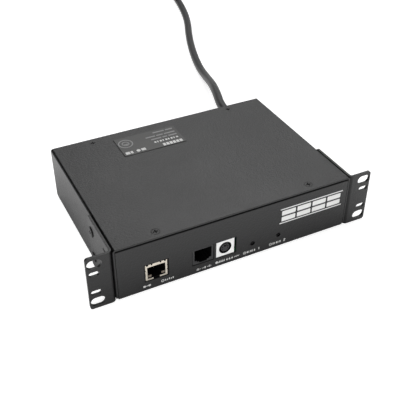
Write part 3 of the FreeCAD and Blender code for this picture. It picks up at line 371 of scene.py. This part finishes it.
PLATED = {  # colour, roughness
    "zinc_steel": ((0.6, 0.61, 0.6), 0.34),
    "tin_plate": ((0.77, 0.71, 0.61), 0.33),
    "gold_contact": ((0.83, 0.6, 0.27), 0.25),
    "brass_contact": ((0.78, 0.62, 0.32), 0.27),
}
MOTTLED = {  # colour, roughness, grains, their height and, if not 0.08, the spread of colour
    "white_cap": ((0.93, 0.93, 0.92), 0.4, 1800.0, 10.0, 0.02),
    "black_plastic": ((0.022, 0.022, 0.023), 0.42, 2600.0, 20.0),
    "ribbon": ((0.42, 0.43, 0.44), 0.5, 1500.0, 30.0),
    "relay_case": ((0.03, 0.03, 0.034), 0.3, 2000.0, 10.0),
    "transformer_tape": ((0.62, 0.5, 0.08), 0.35, 900.0, 30.0),
    "capacitor_sleeve": ((0.02, 0.03, 0.06), 0.25, 900.0, 10.0),
    "fuse_glass": ((0.75, 0.77, 0.76), 0.08, 400.0, 5.0),
    "terminal_plastic": ((0.05, 0.24, 0.08), 0.4, 2000.0, 20.0),
    "lead_black": ((0.02, 0.02, 0.02), 0.4, 1800.0, 20.0),
    "lead_white": ((0.72, 0.72, 0.7), 0.4, 1800.0, 20.0, 0.04),
    "lead_green": ((0.03, 0.26, 0.08), 0.4, 1800.0, 20.0),
    "cord_jacket": ((0.019, 0.019, 0.02), 0.5, 2200.0, 40.0),
    "white_ink": ((0.62, 0.62, 0.61), 0.5, 2600.0, 4.0, 0.1),
    "grey_ink": ((0.2, 0.2, 0.2), 0.5, 2600.0, 4.0, 0.15),
    "write_on": ((0.86, 0.86, 0.85), 0.55, 1800.0, 6.0, 0.03),
    "plate_foil": ((0.02, 0.02, 0.0185), 0.4, 1600.0, 8.0),
}
# Near-black ink for painted shade in gaps, in notches and along edges
PAINTED_SHADE_INK = ((0.006, 0.006, 0.006), 0.6, 2600.0, 4.0)

MATERIALS = {
    "case_paint": powder_coat("powder_coat", 0.009, 0.41),
    "bracket_paint": powder_coat("bracket_coat", 0.009, 0.41, bend_dulling_and_shade=0.3),
    "black_screw": powder_coat("black_screw", 0.01, 0.41),
    "lamp_window": clear_lamp("lamp_window", (0.16, 0.13, 0.1), 0.25, 0.5),
    # lamp_epoxy is near black as painted shade, so that the lamps read as the dark holes they sit
    # in
    "lamp_epoxy": clear_lamp("lamp_epoxy", (0.005, 0.005, 0.005), 0.3, 0.08),
    "circuit_board": solder_mask(),
    "painted_shade_ink": mottled("painted_shade_ink", *PAINTED_SHADE_INK, Specular_IOR_Level=0.05),
    "socket_plastic": socket_plastic("socket_plastic", (0.02, 0.02, 0.021), 0.42),
}
for name, values in PLATED.items():
    MATERIALS[name] = plated(name, *values)
for name, values in MOTTLED.items():
    MATERIALS[name] = mottled(name, *values)

for name, node in NODES.items():
    node.data.materials.clear()
    node.data.materials.append(MATERIALS[SLOT_OF[name]])


# Surfaces of the pieces

SMOOTH_ANGLE = math.radians(35.0)  # edges that turn more than this stay sharp
EDGE_ANGLE = math.radians(38.0)  # edges of CAD pieces that turn more than this get rounded
FLAT_ANGLE = math.radians(0.5)
EDGE_SEGMENTS = 2
NORMAL_WEIGHT = 60


def finished(name, shape, slot, *replaced, weighted=True, material=None):
    """A piece from a bmesh: smooth faces, sharp edges by angle, flat faces kept flat."""
    bmesh.ops.triangulate(shape, faces=[face for face in shape.faces if len(face.verts) > 4])
    for face in shape.faces:
        face.smooth = True
    mesh = bpy.data.meshes.new(name)
    shape.to_mesh(mesh)
    shape.free()
    mesh.set_sharp_from_angle(angle=SMOOTH_ANGLE)
    mesh.materials.append(MATERIALS[material or slot])
    piece = link(name, mesh)
    if weighted:
        normals = piece.modifiers.new("normals", "WEIGHTED_NORMAL")
        normals.keep_sharp = True
        normals.weight = NORMAL_WEIGHT
    return own(piece, slot, *replaced)


def dressed(name, width, material=None, adjust=None):
    """A copy of a CAD piece with its sharp edges rounded by a width."""
    node = NODES[name]
    shape = bmesh.new()
    shape.from_mesh(node.data)
    shape.transform(node.matrix_world)
    if adjust:
        adjust(shape)
    bmesh.ops.remove_doubles(shape, verts=shape.verts, dist=MICRON)
    bmesh.ops.dissolve_limit(
        shape, angle_limit=FLAT_ANGLE, verts=shape.verts, edges=shape.edges
    )
    sharp = [
        edge
        for edge in shape.edges
        if len(edge.link_faces) == 2 and edge.calc_face_angle() > EDGE_ANGLE
    ]
    bmesh.ops.bevel(
        shape,
        geom=sharp,
        offset=width * MM,
        offset_type="OFFSET",
        segments=EDGE_SEGMENTS,
        profile=0.5,
        affect="EDGES",
        clamp_overlap=True,
    )
    return finished(name + "_look", shape, SLOT_OF[name], name, material=material)


# Power cord: the route of the CAD tube, then the turns of the coil

CORD_RADIUS = 4.0
REST_HEIGHT = CORD_RADIUS + 0.05
EXIT_X = middle("cord_grip", "X")
EXIT_Y = span("cord_grip", "Y")[1]
EXIT_Z = middle("cord_grip", "Z")
ROUTE_STEPS = (  # to the right of the exit, behind it, height
    (0.0, 0.0, EXIT_Z),
    (0.0, 13.0, EXIT_Z),
    (8.5, 38.0, 21.4),
    (17.0, 63.0, 17.0),
    (25.2, 90.0, 9.5),
    (33.2, 124.0, REST_HEIGHT),
    (44.7, 164.0, REST_HEIGHT),
    (59.4, 203.5, REST_HEIGHT),
    (76.2, 241.5, REST_HEIGHT),
    (88.6, 282.0, REST_HEIGHT),
    (97.4, 324.0, REST_HEIGHT),
    (104.8, 365.5, REST_HEIGHT),
)
ROUTE = tuple((EXIT_X + right, EXIT_Y + behind, height) for right, behind, height in ROUTE_STEPS)
COIL_OUTER = 52.0  # radius of the outer turn
COIL_LEAD = 33.0  # cord beside the coil before it turns in
COIL_TAIL = 32.0  # and after it turns out, to the plug
COIL_PITCH = 2 * CORD_RADIUS
COIL_LAYER = 2 * CORD_RADIUS + 0.05
COIL_CLIMB = 0.5  # turns in which the cord climbs to the upper layer
COIL_WHOLE_TURNS = 5
POINTS_PER_TURN = 16
CORD_STEPS = 8  # of the curve, from one control point to the next
CORD_ROUNDNESS = 5


def coil_points():
    """Control points of a spiral inwards, a climb to the upper layer and a spiral outwards."""
    end = Vector(ROUTE[-1])
    heading = (end - Vector(ROUTE[-2])).normalized()
    left = Vector((-heading.y, heading.x, 0))
    centre = end + heading * COIL_LEAD + left * COIL_OUTER
    first = math.atan2(-left.y, -left.x)
    turns = COIL_WHOLE_TURNS + (math.pi / 2 - first) / math.tau
    inward = (turns - COIL_CLIMB) / 2
    count = round(turns * POINTS_PER_TURN)
    step = turns * math.tau / count
    points = []
    for number in range(count):
        turn = (number + 0.5) * step / math.tau
        climb = min(1.0, max(0.0, (turn - inward) / COIL_CLIMB))
        layer = climb * climb * (3 - 2 * climb)
        down = COIL_PITCH * min(turn, inward)
        up = COIL_PITCH * max(0.0, turn - inward - COIL_CLIMB)
        radius = (COIL_OUTER - down + up) / math.cos(step / 2)
        angle = first + turn * math.tau
        place = (centre.x + radius * math.cos(angle), centre.y + radius * math.sin(angle))
        points.append((*place, REST_HEIGHT + COIL_LAYER * layer))
    tail = (centre.x - COIL_TAIL, centre.y + COIL_OUTER, REST_HEIGHT + COIL_LAYER)
    return points + [tail]


def nurbs(name, points, radius):
    """A round cord whose line is a smooth spline with these control points."""
    curve = bpy.data.curves.new(name, "CURVE")
    curve.dimensions = "3D"
    curve.resolution_u = CORD_STEPS
    curve.bevel_depth = radius * MM
    curve.bevel_resolution = CORD_ROUNDNESS
    curve.use_fill_caps = True
    spline = curve.splines.new("NURBS")
    spline.points.add(len(points) - 1)
    for point, place in zip(spline.points, points):
        point.co = (*mm(*place), 1.0)
    spline.order_u = 3
    spline.use_endpoint_u = True
    return link(name, curve)


# Plug at the end of the cord

PLUG_LEFT, PLUG_RIGHT = span("plug_body", "X")
PLUG_START = (PLUG_RIGHT, middle("plug_body", "Y"), middle("plug_body", "Z"))
PLUG_GRIP = 28.0  # length of the strain relief
PLUG_BODY = PLUG_RIGHT - PLUG_LEFT - PLUG_GRIP
PLUG_SIDES = 56
GRIP_STEPS = 32
GRIP_RADII = (5.25, 9.4)
GROOVE_PITCH = 6  # in steps of the grip, as are the next two
GROOVE_STEPS = (3, 4)
GROOVES_END = 27
GROOVE_DEPTH = 0.9
ROUND = 2.0  # the power of a circle
BODY_SECTIONS = (  # distance from the grip, half width, half height, power
    (0.6, 10.4, 9.9, 2.3),
    (1.6, 12.0, 10.7, 2.7),
    (3.2, 13.6, 11.3, 3.1),
    (5.4, 14.5, 11.6, 3.5),
    (8.0, 14.4, 11.7, 3.8),
    (11.5, 13.7, 11.7, 4.0),
    (15.0, 13.3, 11.7, 4.0),
    (18.5, 13.5, 11.7, 4.0),
    (22.0, 14.4, 11.7, 4.0),
    (24.5, 14.9, 11.75, 4.2),
    (PLUG_BODY - 1.0, 14.95, 11.75, 4.2),
    (PLUG_BODY - 0.35, 14.75, 11.6, 4.2),
    (PLUG_BODY, 14.2, 11.1, 4.2),
)


def superellipse(half_width, half_height, power, count):
    """Points of a rounded rectangle; a larger power is squarer."""
    points = []
    for number in range(count):
        turn = math.tau * (number + 0.5) / count
        across, up = math.cos(turn), math.sin(turn)
        points.append(
            (
                math.copysign(abs(across) ** (2 / power), across) * half_width,
                math.copysign(abs(up) ** (2 / power), up) * half_height,
            )
        )
    return points


def lofted(sections, count, place):
    """A closed skin over sections. A section is (along, half width, half height, power)."""
    shape = bmesh.new()
    rings = []
    for along, half_width, half_height, power in sections:
        outline = superellipse(half_width, half_height, power, count)
        rings.append([shape.verts.new(place(along, *point)) for point in outline])
    for lower, upper in zip(rings, rings[1:]):
        for one in range(count):
            two = (one + 1) % count
            shape.faces.new((lower[one], lower[two], upper[two], upper[one]))
    shape.faces.new(rings[0][::-1])
    shape.faces.new(rings[-1])
    bmesh.ops.recalc_face_normals(shape, faces=shape.faces)
    return shape


def on_plug(along, across, up):
    """A point of the plug, in metres."""
    return (Vector(PLUG_START) + Vector((-along, across, up))) * MM


def plug():
    """A moulded plug: a grooved strain relief, shoulders, a waisted body and a flat face."""
    slim, wide = GRIP_RADII
    sections = []
    for number in range(GRIP_STEPS + 1):
        radius = slim + (wide - slim) * number / GRIP_STEPS
        if number % GROOVE_PITCH in GROOVE_STEPS and number < GROOVES_END:
            radius -= GROOVE_DEPTH
        sections.append((PLUG_GRIP * number / GRIP_STEPS, radius, radius, ROUND))
    for along, *form in BODY_SECTIONS:
        sections.append((PLUG_GRIP + along, *form))
    shape = lofted(sections, PLUG_SIDES, on_plug)
    return finished("plug_look", shape, "black_plastic", "plug_body")


plug_piece = plug()
grip_piece = dressed("cord_grip", 0.3)
blade_piece = dressed("plug_blades", 0.15)
pin_piece = dressed("plug_earth_pin", 0.1)
cord = nurbs("cord", list(ROUTE) + coil_points(), CORD_RADIUS)
cord.data.materials.append(MATERIALS["cord_jacket"])
own(cord, "cord_jacket", "power_cord", "power_cord_coil")


# Case, sockets, screws and outlets: the CAD pieces with their edges rounded as real ones are

EDGES = {
    "top_cover": 0.25,
    "base_chassis": 0.2,
    "cover_screws": 0.12,
    "ethernet_socket_shield": 0.08,
    "sensor_socket_shell": 0.12,
    "rear_outlet_1": 0.3,
    "rear_outlet_2": 0.3,
    "terminal_block": 0.2,
    "outlet_1_relay": 0.2,
    "outlet_2_relay": 0.2,
}
BRACKET_EDGES = {"left_rack_bracket": 0.35, "right_rack_bracket": 0.35}
BRACKET_SCREW_EDGE = 0.12
BRACKET_SHEET = 1.8
FLANGE_FACE = (CASE_SIDE + BRACKET_SHEET) * MM  # metres
HEAD_SHARE = 0.45  # of the height of a bracket screw's head
SOCKET_EDGES = {
    "ethernet_socket_housing": 0.12,
    "config_socket_housing": 0.15,
    "sensor_socket_body": 0.12,
}
CORE_EDGE = 0.1
CORE_SHARE = 0.86  # of the radius of the round socket's core


def low_heads(shape):
    """Lower the pan heads of the bracket screws to the flat heads that the photograph shows."""
    for vertex in shape.verts:
        over = abs(vertex.co.x) - FLANGE_FACE
        if over > 0:
            vertex.co.x = math.copysign(FLANGE_FACE + over * HEAD_SHARE, vertex.co.x)


def slim_core(shape):
    """Draw the round socket's core in, so that the ring groove round it is as wide as it looks."""
    for place, axis in ((0, "X"), (2, "Z")):
        centre = middle("sensor_socket_core", axis) * MM
        for vertex in shape.verts:
            vertex.co[place] = centre + (vertex.co[place] - centre) * CORE_SHARE


for name, width in EDGES.items():
    dressed(name, width)
for name, width in BRACKET_EDGES.items():
    dressed(name, width, "bracket_paint")
dressed("bracket_screws", BRACKET_SCREW_EDGE, adjust=low_heads)
for name, width in SOCKET_EDGES.items():
    dressed(name, width, "socket_plastic")
dressed("sensor_socket_core", CORE_EDGE, "socket_plastic", adjust=slim_core)


# Flat outlines for print. Each function returns a list of faces

STEEPEST_MITRE = 0.4
DISC_SIDES = 20
CORNER_STEPS = 6


def block(x0, x1, y0, y1):
    """A rectangle."""
    return [((x0, y0), (x1, y0), (x1, y1), (x0, y1))]


def bars(left, pitch, widths, low, tops):
    """A row of upright bars that stand on one line."""
    faces = []
    for number, (width, top) in enumerate(zip(widths, tops)):
        start = left + pitch * number
        faces += block(start, start + width, low, top)
    return faces


def disc(x, y, radius):
    """A filled circle."""
    turns = [math.tau * number / DISC_SIDES for number in range(DISC_SIDES)]
    return [tuple((x + radius * math.cos(turn), y + radius * math.sin(turn)) for turn in turns)]


def circle(x, y, radius, width, count=24):
    """A circle drawn with a line of this width."""
    inner, outer = radius - width / 2, radius + width / 2
    faces = []
    for number in range(count):
        one, two = (math.tau * (number + step) / count for step in (0, 1))
        corners = ((one, inner), (one, outer), (two, outer), (two, inner))
        faces.append(tuple((x + r * math.cos(turn), y + r * math.sin(turn)) for turn, r in corners))
    return faces


def rounded(x0, x1, y0, y1, radius):
    """A rectangle with rounded corners as one face."""
    corners = []
    for x, y, first in (
        (x1 - radius, y1 - radius, 0),
        (x0 + radius, y1 - radius, 90),
        (x0 + radius, y0 + radius, 180),
        (x1 - radius, y0 + radius, 270),
    ):
        for number in range(CORNER_STEPS + 1):
            turn = math.radians(first + 90 * number / CORNER_STEPS)
            corners.append((x + radius * math.cos(turn), y + radius * math.sin(turn)))
    return [tuple(corners)]


def strip(points, width):
    """A line of this width along points, with mitred corners."""
    sides = ([], [])
    points = [Vector(point) for point in points]
    for number, point in enumerate(points):
        ways = []
        if number:
            ways.append((point - points[number - 1]).normalized())
        if number < len(points) - 1:
            ways.append((points[number + 1] - point).normalized())
        way = sum(ways, Vector((0, 0))).normalized()
        across = Vector((-way.y, way.x))
        reach = width / 2 / max(STEEPEST_MITRE, way.dot(ways[0]))
        sides[0].append(point + across * reach)
        sides[1].append(point - across * reach)
    return [
        (sides[0][one], sides[1][one], sides[1][one + 1], sides[0][one + 1])
        for one in range(len(points) - 1)
    ]


def moved(faces, right):
    """The same faces, further to the right."""
    return [tuple((x + right, y) for x, y in face) for face in faces]


def ink(name, slot, faces, place, thickness):
    """A layer of print, foil or painted shade, only a fraction of a millimetre thick. Its faces are
    outlines that place() puts on the case.
    """
    shape = bmesh.new()
    for face in faces:
        low = [shape.verts.new(place(x, y, 0.0)) for x, y in face]
        high = [shape.verts.new(place(x, y, thickness)) for x, y in face]
        count = len(face)
        shape.faces.new(high)
        shape.faces.new(low[::-1])
        for one in range(count):
            two = (one + 1) % count
            shape.faces.new((low[one], low[two], high[two], high[one]))
    bmesh.ops.recalc_face_normals(shape, faces=shape.faces)
    return finished(name, shape, slot, weighted=False)


def on_front(x, z, proud):
    """A point on the front panel, in metres."""
    return mm(x, FRONT - proud, z)


def on_shield(x, z, proud):
    """A point on the face of the network socket's shield, in metres."""
    return mm(x, SHIELD_FACE - proud, z)


def on_top(x, y, proud):
    """A point on the cover, in metres."""
    return mm(x, y, COVER_TOP + proud)


# Print on the front: plain symbols and numerals in white. Each label starts at 0 and is moved
# to its place; heights are above the ground

INK = 0.02
NETWORK_LABEL = SHIELD_LEFT - 1.9
STATE_LABEL = SHIELD_RIGHT - 4.1
SETTINGS_LABEL = span("config_socket_housing", "X")[0] + 2.55
SENSOR_LABEL = span("sensor_socket_shell", "X")[0] + 0.3
OUTLET_LABELS = (middle("outlet_1_lamp", "X") - 7.4, middle("outlet_2_lamp", "X") - 7.3)
LABEL_LOW = 3.9
LABEL_MIDDLE = 4.8
BOX_TOP = 5.5
WIRE_HEIGHTS = (4.45, 4.95)
STATE_TOPS = (5.5, 5.2, 5.8, 5.2, 5.6)
KNOBS = (0.9, 2.2, 1.4)
SLIDER_PITCH = 4.2
SENSOR_MARKS = 4
SENSOR_DROPS = 3
DROP_PITCH = 2.0
WAVE = ((13.8, 4.3), (14.6, 5.2), (15.4, 4.3), (16.2, 5.2), (17.0, 4.3), (17.8, 5.2))
WAVE_LINE = 0.45
OUTLET_BARS = (0.95, 0.5, 0.95, 0.5, 0.95)
BAR_TOP = 5.7
NUMERAL_LEFT = 12.3
NUMERAL_HEIGHT = 2.1
NUMERAL_WIDTH = 0.55 * NUMERAL_HEIGHT
NUMERAL_LINE = 0.5
HALF_LINE = NUMERAL_LINE / 2 / NUMERAL_HEIGHT
ONE = ((0.1, 0.75), (0.55, 1 - HALF_LINE), (0.55, 0.0))  # shares of width and height
TWO = ((0.0, 0.72), (0.18, 0.95), (0.75, 0.95), (1.0, 0.7), (0.0, HALF_LINE), (1.05, HALF_LINE))


def network_label():
    """Two boxes joined by a line."""
    faces = block(0.0, 1.6, LABEL_LOW, BOX_TOP) + block(1.6, 3.8, *WIRE_HEIGHTS)
    return faces + block(3.8, 5.4, LABEL_LOW, BOX_TOP)


def state_label():
    """A circle and a row of bars."""
    widths = [0.7] * len(STATE_TOPS)
    return circle(0.0, LABEL_MIDDLE, 0.9, 0.5) + bars(1.8, 1.4, widths, 4.0, STATE_TOPS)


def settings_label():
    """Three sliders side by side."""
    faces = []
    for number, knob in enumerate(KNOBS):
        slider = block(0.0, 3.4, 3.85, 4.3) + block(knob, knob + 0.9, 3.2, 5.0)
        faces += moved(slider, SLIDER_PITCH * number)
    return faces


def sensor_label():
    """A thermometer on its side, drops and a wave."""
    faces = disc(0.0, 4.7, 1.1) + block(0.9, 6.3, LABEL_LOW, 4.5)
    faces += bars(1.8, 1.3, [0.6] * SENSOR_MARKS, 4.5, [BAR_TOP] * SENSOR_MARKS)
    drop = disc(8.1, 4.5, 0.72) + block(7.95, 8.25, 5.1, 5.8)
    for number in range(SENSOR_DROPS):
        faces += moved(drop, DROP_PITCH * number)
    return faces + strip(WAVE, WAVE_LINE)


def outlet_label(shares):
    """An outlet, bars and a plain numeral."""
    faces = circle(1.2, LABEL_MIDDLE, 1.0, 0.4) + bars(0.75, 0.65, [0.25] * 2, 4.4, [5.2] * 2)
    faces += bars(3.0, 1.45, OUTLET_BARS, LABEL_LOW, [BAR_TOP] * len(OUTLET_BARS))
    numeral = [
        (NUMERAL_LEFT + across * NUMERAL_WIDTH, LABEL_LOW + up * NUMERAL_HEIGHT)
        for across, up in shares
    ]
    return faces + strip(numeral, NUMERAL_LINE)


def front_print():
    """The labels under the sockets and lamps."""
    faces = moved(network_label(), NETWORK_LABEL) + moved(state_label(), STATE_LABEL)
    faces += moved(settings_label(), SETTINGS_LABEL) + moved(sensor_label(), SENSOR_LABEL)
    for left, shares in zip(OUTLET_LABELS, (ONE, TWO)):
        faces += moved(outlet_label(shares), left)
    ink("front_print", "white_ink", faces, on_front, INK)


front_print()


# Write-on field at the right of the front

FIELD_WIDTH = 52.6
FIELD_LEFT = CASE_SIDE - 5.2 - FIELD_WIDTH
FIELD_LINES = (33.2, 21.0)
FIELD_LINE_HEIGHT = 0.8
CELL_LOWS = (22.9, 28.1)
CELL_COLUMNS = 4
CELL_START = 1.4
CELL_PITCH = 12.75
CELL_SIZE = (11.35, 3.9)
CELL_CORNER = 0.6


def write_on_field():
    """Eight plain cells in two rows, between two lines."""
    faces = []
    for low in FIELD_LINES:
        faces += block(FIELD_LEFT, FIELD_LEFT + FIELD_WIDTH, low, low + FIELD_LINE_HEIGHT)
    width, height = CELL_SIZE
    for low in CELL_LOWS:
        for column in range(CELL_COLUMNS):
            left = FIELD_LEFT + CELL_START + CELL_PITCH * column
            faces += rounded(left, left + width, low, low + height, CELL_CORNER)
    ink("write_on_field", "write_on", faces, on_front, INK)


write_on_field()


# Painted shade for the gaps round the network socket and between the fingers of its shield

# widths of the painted shade round the shield
SHIELD_GAP = 0.5
SHIELD_GAP_RIGHT = 0.8
NOTCHES = (1.6, 4.5, 10.9, 13.9)  # from the shield's left side
NOTCH_WIDTH = 1.0
NOTCH_DEPTH = 1.25


def shield_gap_painted_shade():
    """Painted shade: dark strips in the gap between the shield and the panel, and in each notch of
    the shield's upper edge.
    """
    low, high = SHIELD_LOW - SHIELD_GAP, SHIELD_HIGH + SHIELD_GAP
    outline = block(SHIELD_LEFT - SHIELD_GAP, SHIELD_LEFT, low, high)
    outline += block(SHIELD_RIGHT, SHIELD_RIGHT + SHIELD_GAP_RIGHT, low, high)
    outline += block(SHIELD_LEFT, SHIELD_RIGHT, SHIELD_HIGH, high)
    outline += block(SHIELD_LEFT, SHIELD_RIGHT, low, SHIELD_LOW)
    ink("shield_outline_painted_shade", "painted_shade_ink", outline, on_front, INK)
    notch_shade = []
    for start in NOTCHES:
        left = SHIELD_LEFT + start
        notch_shade += block(left, left + NOTCH_WIDTH, SHIELD_HIGH - NOTCH_DEPTH, SHIELD_HIGH)
    ink("shield_notch_painted_shade", "painted_shade_ink", notch_shade, on_shield, INK)


shield_gap_painted_shade()


# Rating plate on the cover, with blocks and bars in place of its print. Places on the plate are
# from its left front corner

PLATE_WIDTH = 51.3
PLATE_DEPTH = 26.0
PLATE_LEFT = -44.3
PLATE_FRONT = COVER_REAR - 9.5 - PLATE_DEPTH
PLATE_THICK = 0.12
PLATE_CORNER = 1.0
PLATE_INSET = 0.1
PLATE_EDGE_SHADE = 0.6
TITLE_BARS = 6
NUMBER_BARS = (1.5, 1.0, 1.5, 1.0, 1.5, 1.0, 1.5, 1.0, 1.5)
FAINT_ROWS = ((13.0, (7.0, 4.0, 8.5)), (17.1, (9.0, 5.5, 8.0)), (21.9, (6.0, 9.5)))
FAINT_RIGHT = 48.9
FAINT_HEIGHT = 1.5
FAINT_GAP = 1.1
SEAL = (7.2, 17.1)


def on_foil(x, y, proud):
    """A point on the cover from the plate's corner, in metres."""
    return on_top(PLATE_LEFT + x, PLATE_FRONT + y, proud)


def on_plate(x, y, proud):
    """A point on the face of the plate, in metres."""
    return on_foil(x, y, PLATE_THICK + proud)


def rating_plate():
    """The foil, a dark line of painted shade along two edges, and bright and faint print."""
    foil = rounded(0.0, PLATE_WIDTH, 0.0, PLATE_DEPTH, PLATE_CORNER)
    ink("rating_plate", "plate_foil", foil, on_foil, PLATE_THICK)

    # Painted shade: a dark line along the plate's front and left edges
    inner = PLATE_INSET + PLATE_EDGE_SHADE
    edge = block(PLATE_INSET, PLATE_WIDTH - PLATE_INSET, PLATE_INSET, inner)
    edge += block(PLATE_INSET, inner, inner, PLATE_DEPTH - PLATE_INSET)
    ink("rating_plate_edge_shade", "painted_shade_ink", edge, on_plate, INK)

    bright = block(2.3, 5.7, 2.3, 5.5) + block(6.4, 8.2, 2.3, 5.5)
    bright += disc(12.7, 4.1, 1.6) + rounded(15.1, 18.7, 2.6, 5.8, 0.6)
    bright += bars(32.9, 2.8, [2.2] * TITLE_BARS, 1.7, [5.2] * TITLE_BARS)
    bright += bars(28.1, 2.3, NUMBER_BARS, 8.3, [10.3] * len(NUMBER_BARS))
    ink("rating_plate_white", "white_ink", bright, on_plate, INK)

    faint = []
    for low, lengths in FAINT_ROWS:
        right = FAINT_RIGHT
        for length in lengths:
            faint += block(right - length, right, low, low + FAINT_HEIGHT)
            right -= length + FAINT_GAP
    faint += circle(*SEAL, 5.4, 1.0, count=36) + circle(*SEAL, 2.6, 0.9, count=30)
    faint += block(4.9, 9.5, 15.5, 16.7)
    ink("rating_plate_grey", "grey_ink", faint, on_plate, INK)


rating_plate()


# Painted shade: dark rings round the countersunk heads of the front cover screws

SCREW_RIGHT = CASE_SIDE - 32.0
SCREW_FRONT = FRONT + 6.0
SCREW_SHADE_RING = (2.75, 0.25)  # radius and width


def screw_gap_painted_shade():
    """A dark circle of painted shade on each of the two front screws."""
    rings = []
    for x in (-SCREW_RIGHT, SCREW_RIGHT):
        rings += circle(x, SCREW_FRONT, *SCREW_SHADE_RING)
    ink("screw_gap_painted_shade", "painted_shade_ink", rings, on_top, INK)


screw_gap_painted_shade()


# Floor and background, with sizes in metres

FLOOR_PROFILE = (  # radius, height
    (0.7, 0.0),
    (3.0, 0.0),
    (5.0, 0.0),
    (5.4, 0.04),
    (5.8, 0.18),
    (6.1, 0.42),
    (6.25, 0.75),
    (6.3, 1.2),
)
FLOOR_SIDES = 96
FLOOR_DROP = 0.0001
FLOOR_COLOUR = (0.7, 0.7, 0.7)
FLOOR_ROUGHNESS = 0.9
FLOOR_SEEN = (0.7, 1.9, 0.7, 1.0)  # glow to the camera: from, to, near, far
FLOOR_MIRRORED = (0.7, 1.9, 0.85, 1.0)  # and in gloss
CONTACT_SHADOW = (0.0, 0.045, 0.1, 1.0)  # painted contact shadow: share of the mirrored glow beside the case


def beside_case(tree, place):
    """How far a point of the floor lies outside the case."""
    half = mm(CASE_SIDE, -FRONT, 0.0)
    past = vector_sums(tree, "SUBTRACT", vector_sums(tree, "ABSOLUTE", place)[0], half)[0]
    parts = axes(tree, past)
    return sums(tree, "MAXIMUM", parts["X"], parts["Y"])


def floor_glow(tree):
    """White to the camera. In the gloss of the case the floor is darker close to the case: a
    painted contact shadow.
    """
    place = own_place(tree)
    away = vector_sums(tree, "LENGTH", place)["Value"]
    contact_shadow = ramp(tree, beside_case(tree, place), *CONTACT_SHADOW)
    mirrored = sums(tree, "MULTIPLY", ramp(tree, away, *FLOOR_MIRRORED), contact_shadow)
    path = add(tree, "ShaderNodeLightPath", {}, {}).outputs
    through = sums(tree, "MAXIMUM", path["Is Glossy Ray"], path["Is Transmission Ray"])
    gloss = sums(tree, "MULTIPLY", through, mirrored)
    seen = ramp(tree, away, *FLOOR_SEEN)
    return sums(tree, "MULTIPLY_ADD", path["Is Camera Ray"], seen, gloss)


def white_floor():
    """A pale floor that rises to a low wall all round. Its glow shows only as background."""
    shape = bmesh.new()
    centre = shape.verts.new((0, 0, 0))
    turns = [math.tau * number / FLOOR_SIDES for number in range(FLOOR_SIDES)]
    rings = []
    for radius, height in FLOOR_PROFILE:
        places = [(radius * math.cos(turn), radius * math.sin(turn), height) for turn in turns]
        rings.append([shape.verts.new(place) for place in places])
    for one in range(FLOOR_SIDES):
        two = (one + 1) % FLOOR_SIDES
        shape.faces.new((centre, rings[0][one], rings[0][two]))
        for inner, outer in zip(rings, rings[1:]):
            shape.faces.new((inner[one], outer[one], outer[two], inner[two]))
    for face in shape.faces:
        face.smooth = True
    mesh = bpy.data.meshes.new("floor")
    shape.to_mesh(mesh)
    shape.free()
    piece = link("floor", mesh)
    piece.location.z = -FLOOR_DROP

    material, tree, surface = shader(
        "floor", FLOOR_COLOUR, FLOOR_ROUGHNESS, Specular_IOR_Level=0.0, Emission_Color=WHITE
    )
    join(tree, floor_glow(tree), surface.inputs["Emission Strength"])
    mesh.materials.append(material)


# Light

SKY = 0.03
LAMPS = (  # name, place, side in metres, radiance
    ("back_lamp", (470, 800, 1200), 1.2, 2.95),
    ("front_lamp", (-900, -1150, 520), 1.3, 4.7),
    ("top_lamp", (-560, -140, 1260), 0.7, 2.0),
)
LAMP_AIM = mm(0, 0, 20)


def light():
    """A dim sky that is white only to the camera, and three square lamps."""
    world = bpy.data.worlds.new("world")
    bpy.context.scene.world = world
    world.use_nodes = True
    tree = world.node_tree
    sky = tree.nodes["Background"]
    sky.inputs["Color"].default_value = WHITE
    seen = add(tree, "ShaderNodeLightPath", {}, {}).outputs["Is Camera Ray"]
    join(tree, ramp(tree, seen, 0.0, 1.0, SKY, 1.0), sky.inputs["Strength"])

    for name, place, side, radiance in LAMPS:
        lamp = bpy.data.lights.new(name, "AREA")
        lamp.shape = "SQUARE"
        lamp.size = side
        lamp.energy = radiance * math.pi * side * side
        aim(link(name, lamp), mm(*place), LAMP_AIM)


white_floor()
light()
bpy.context.scene.view_settings.view_transform = "Standard"
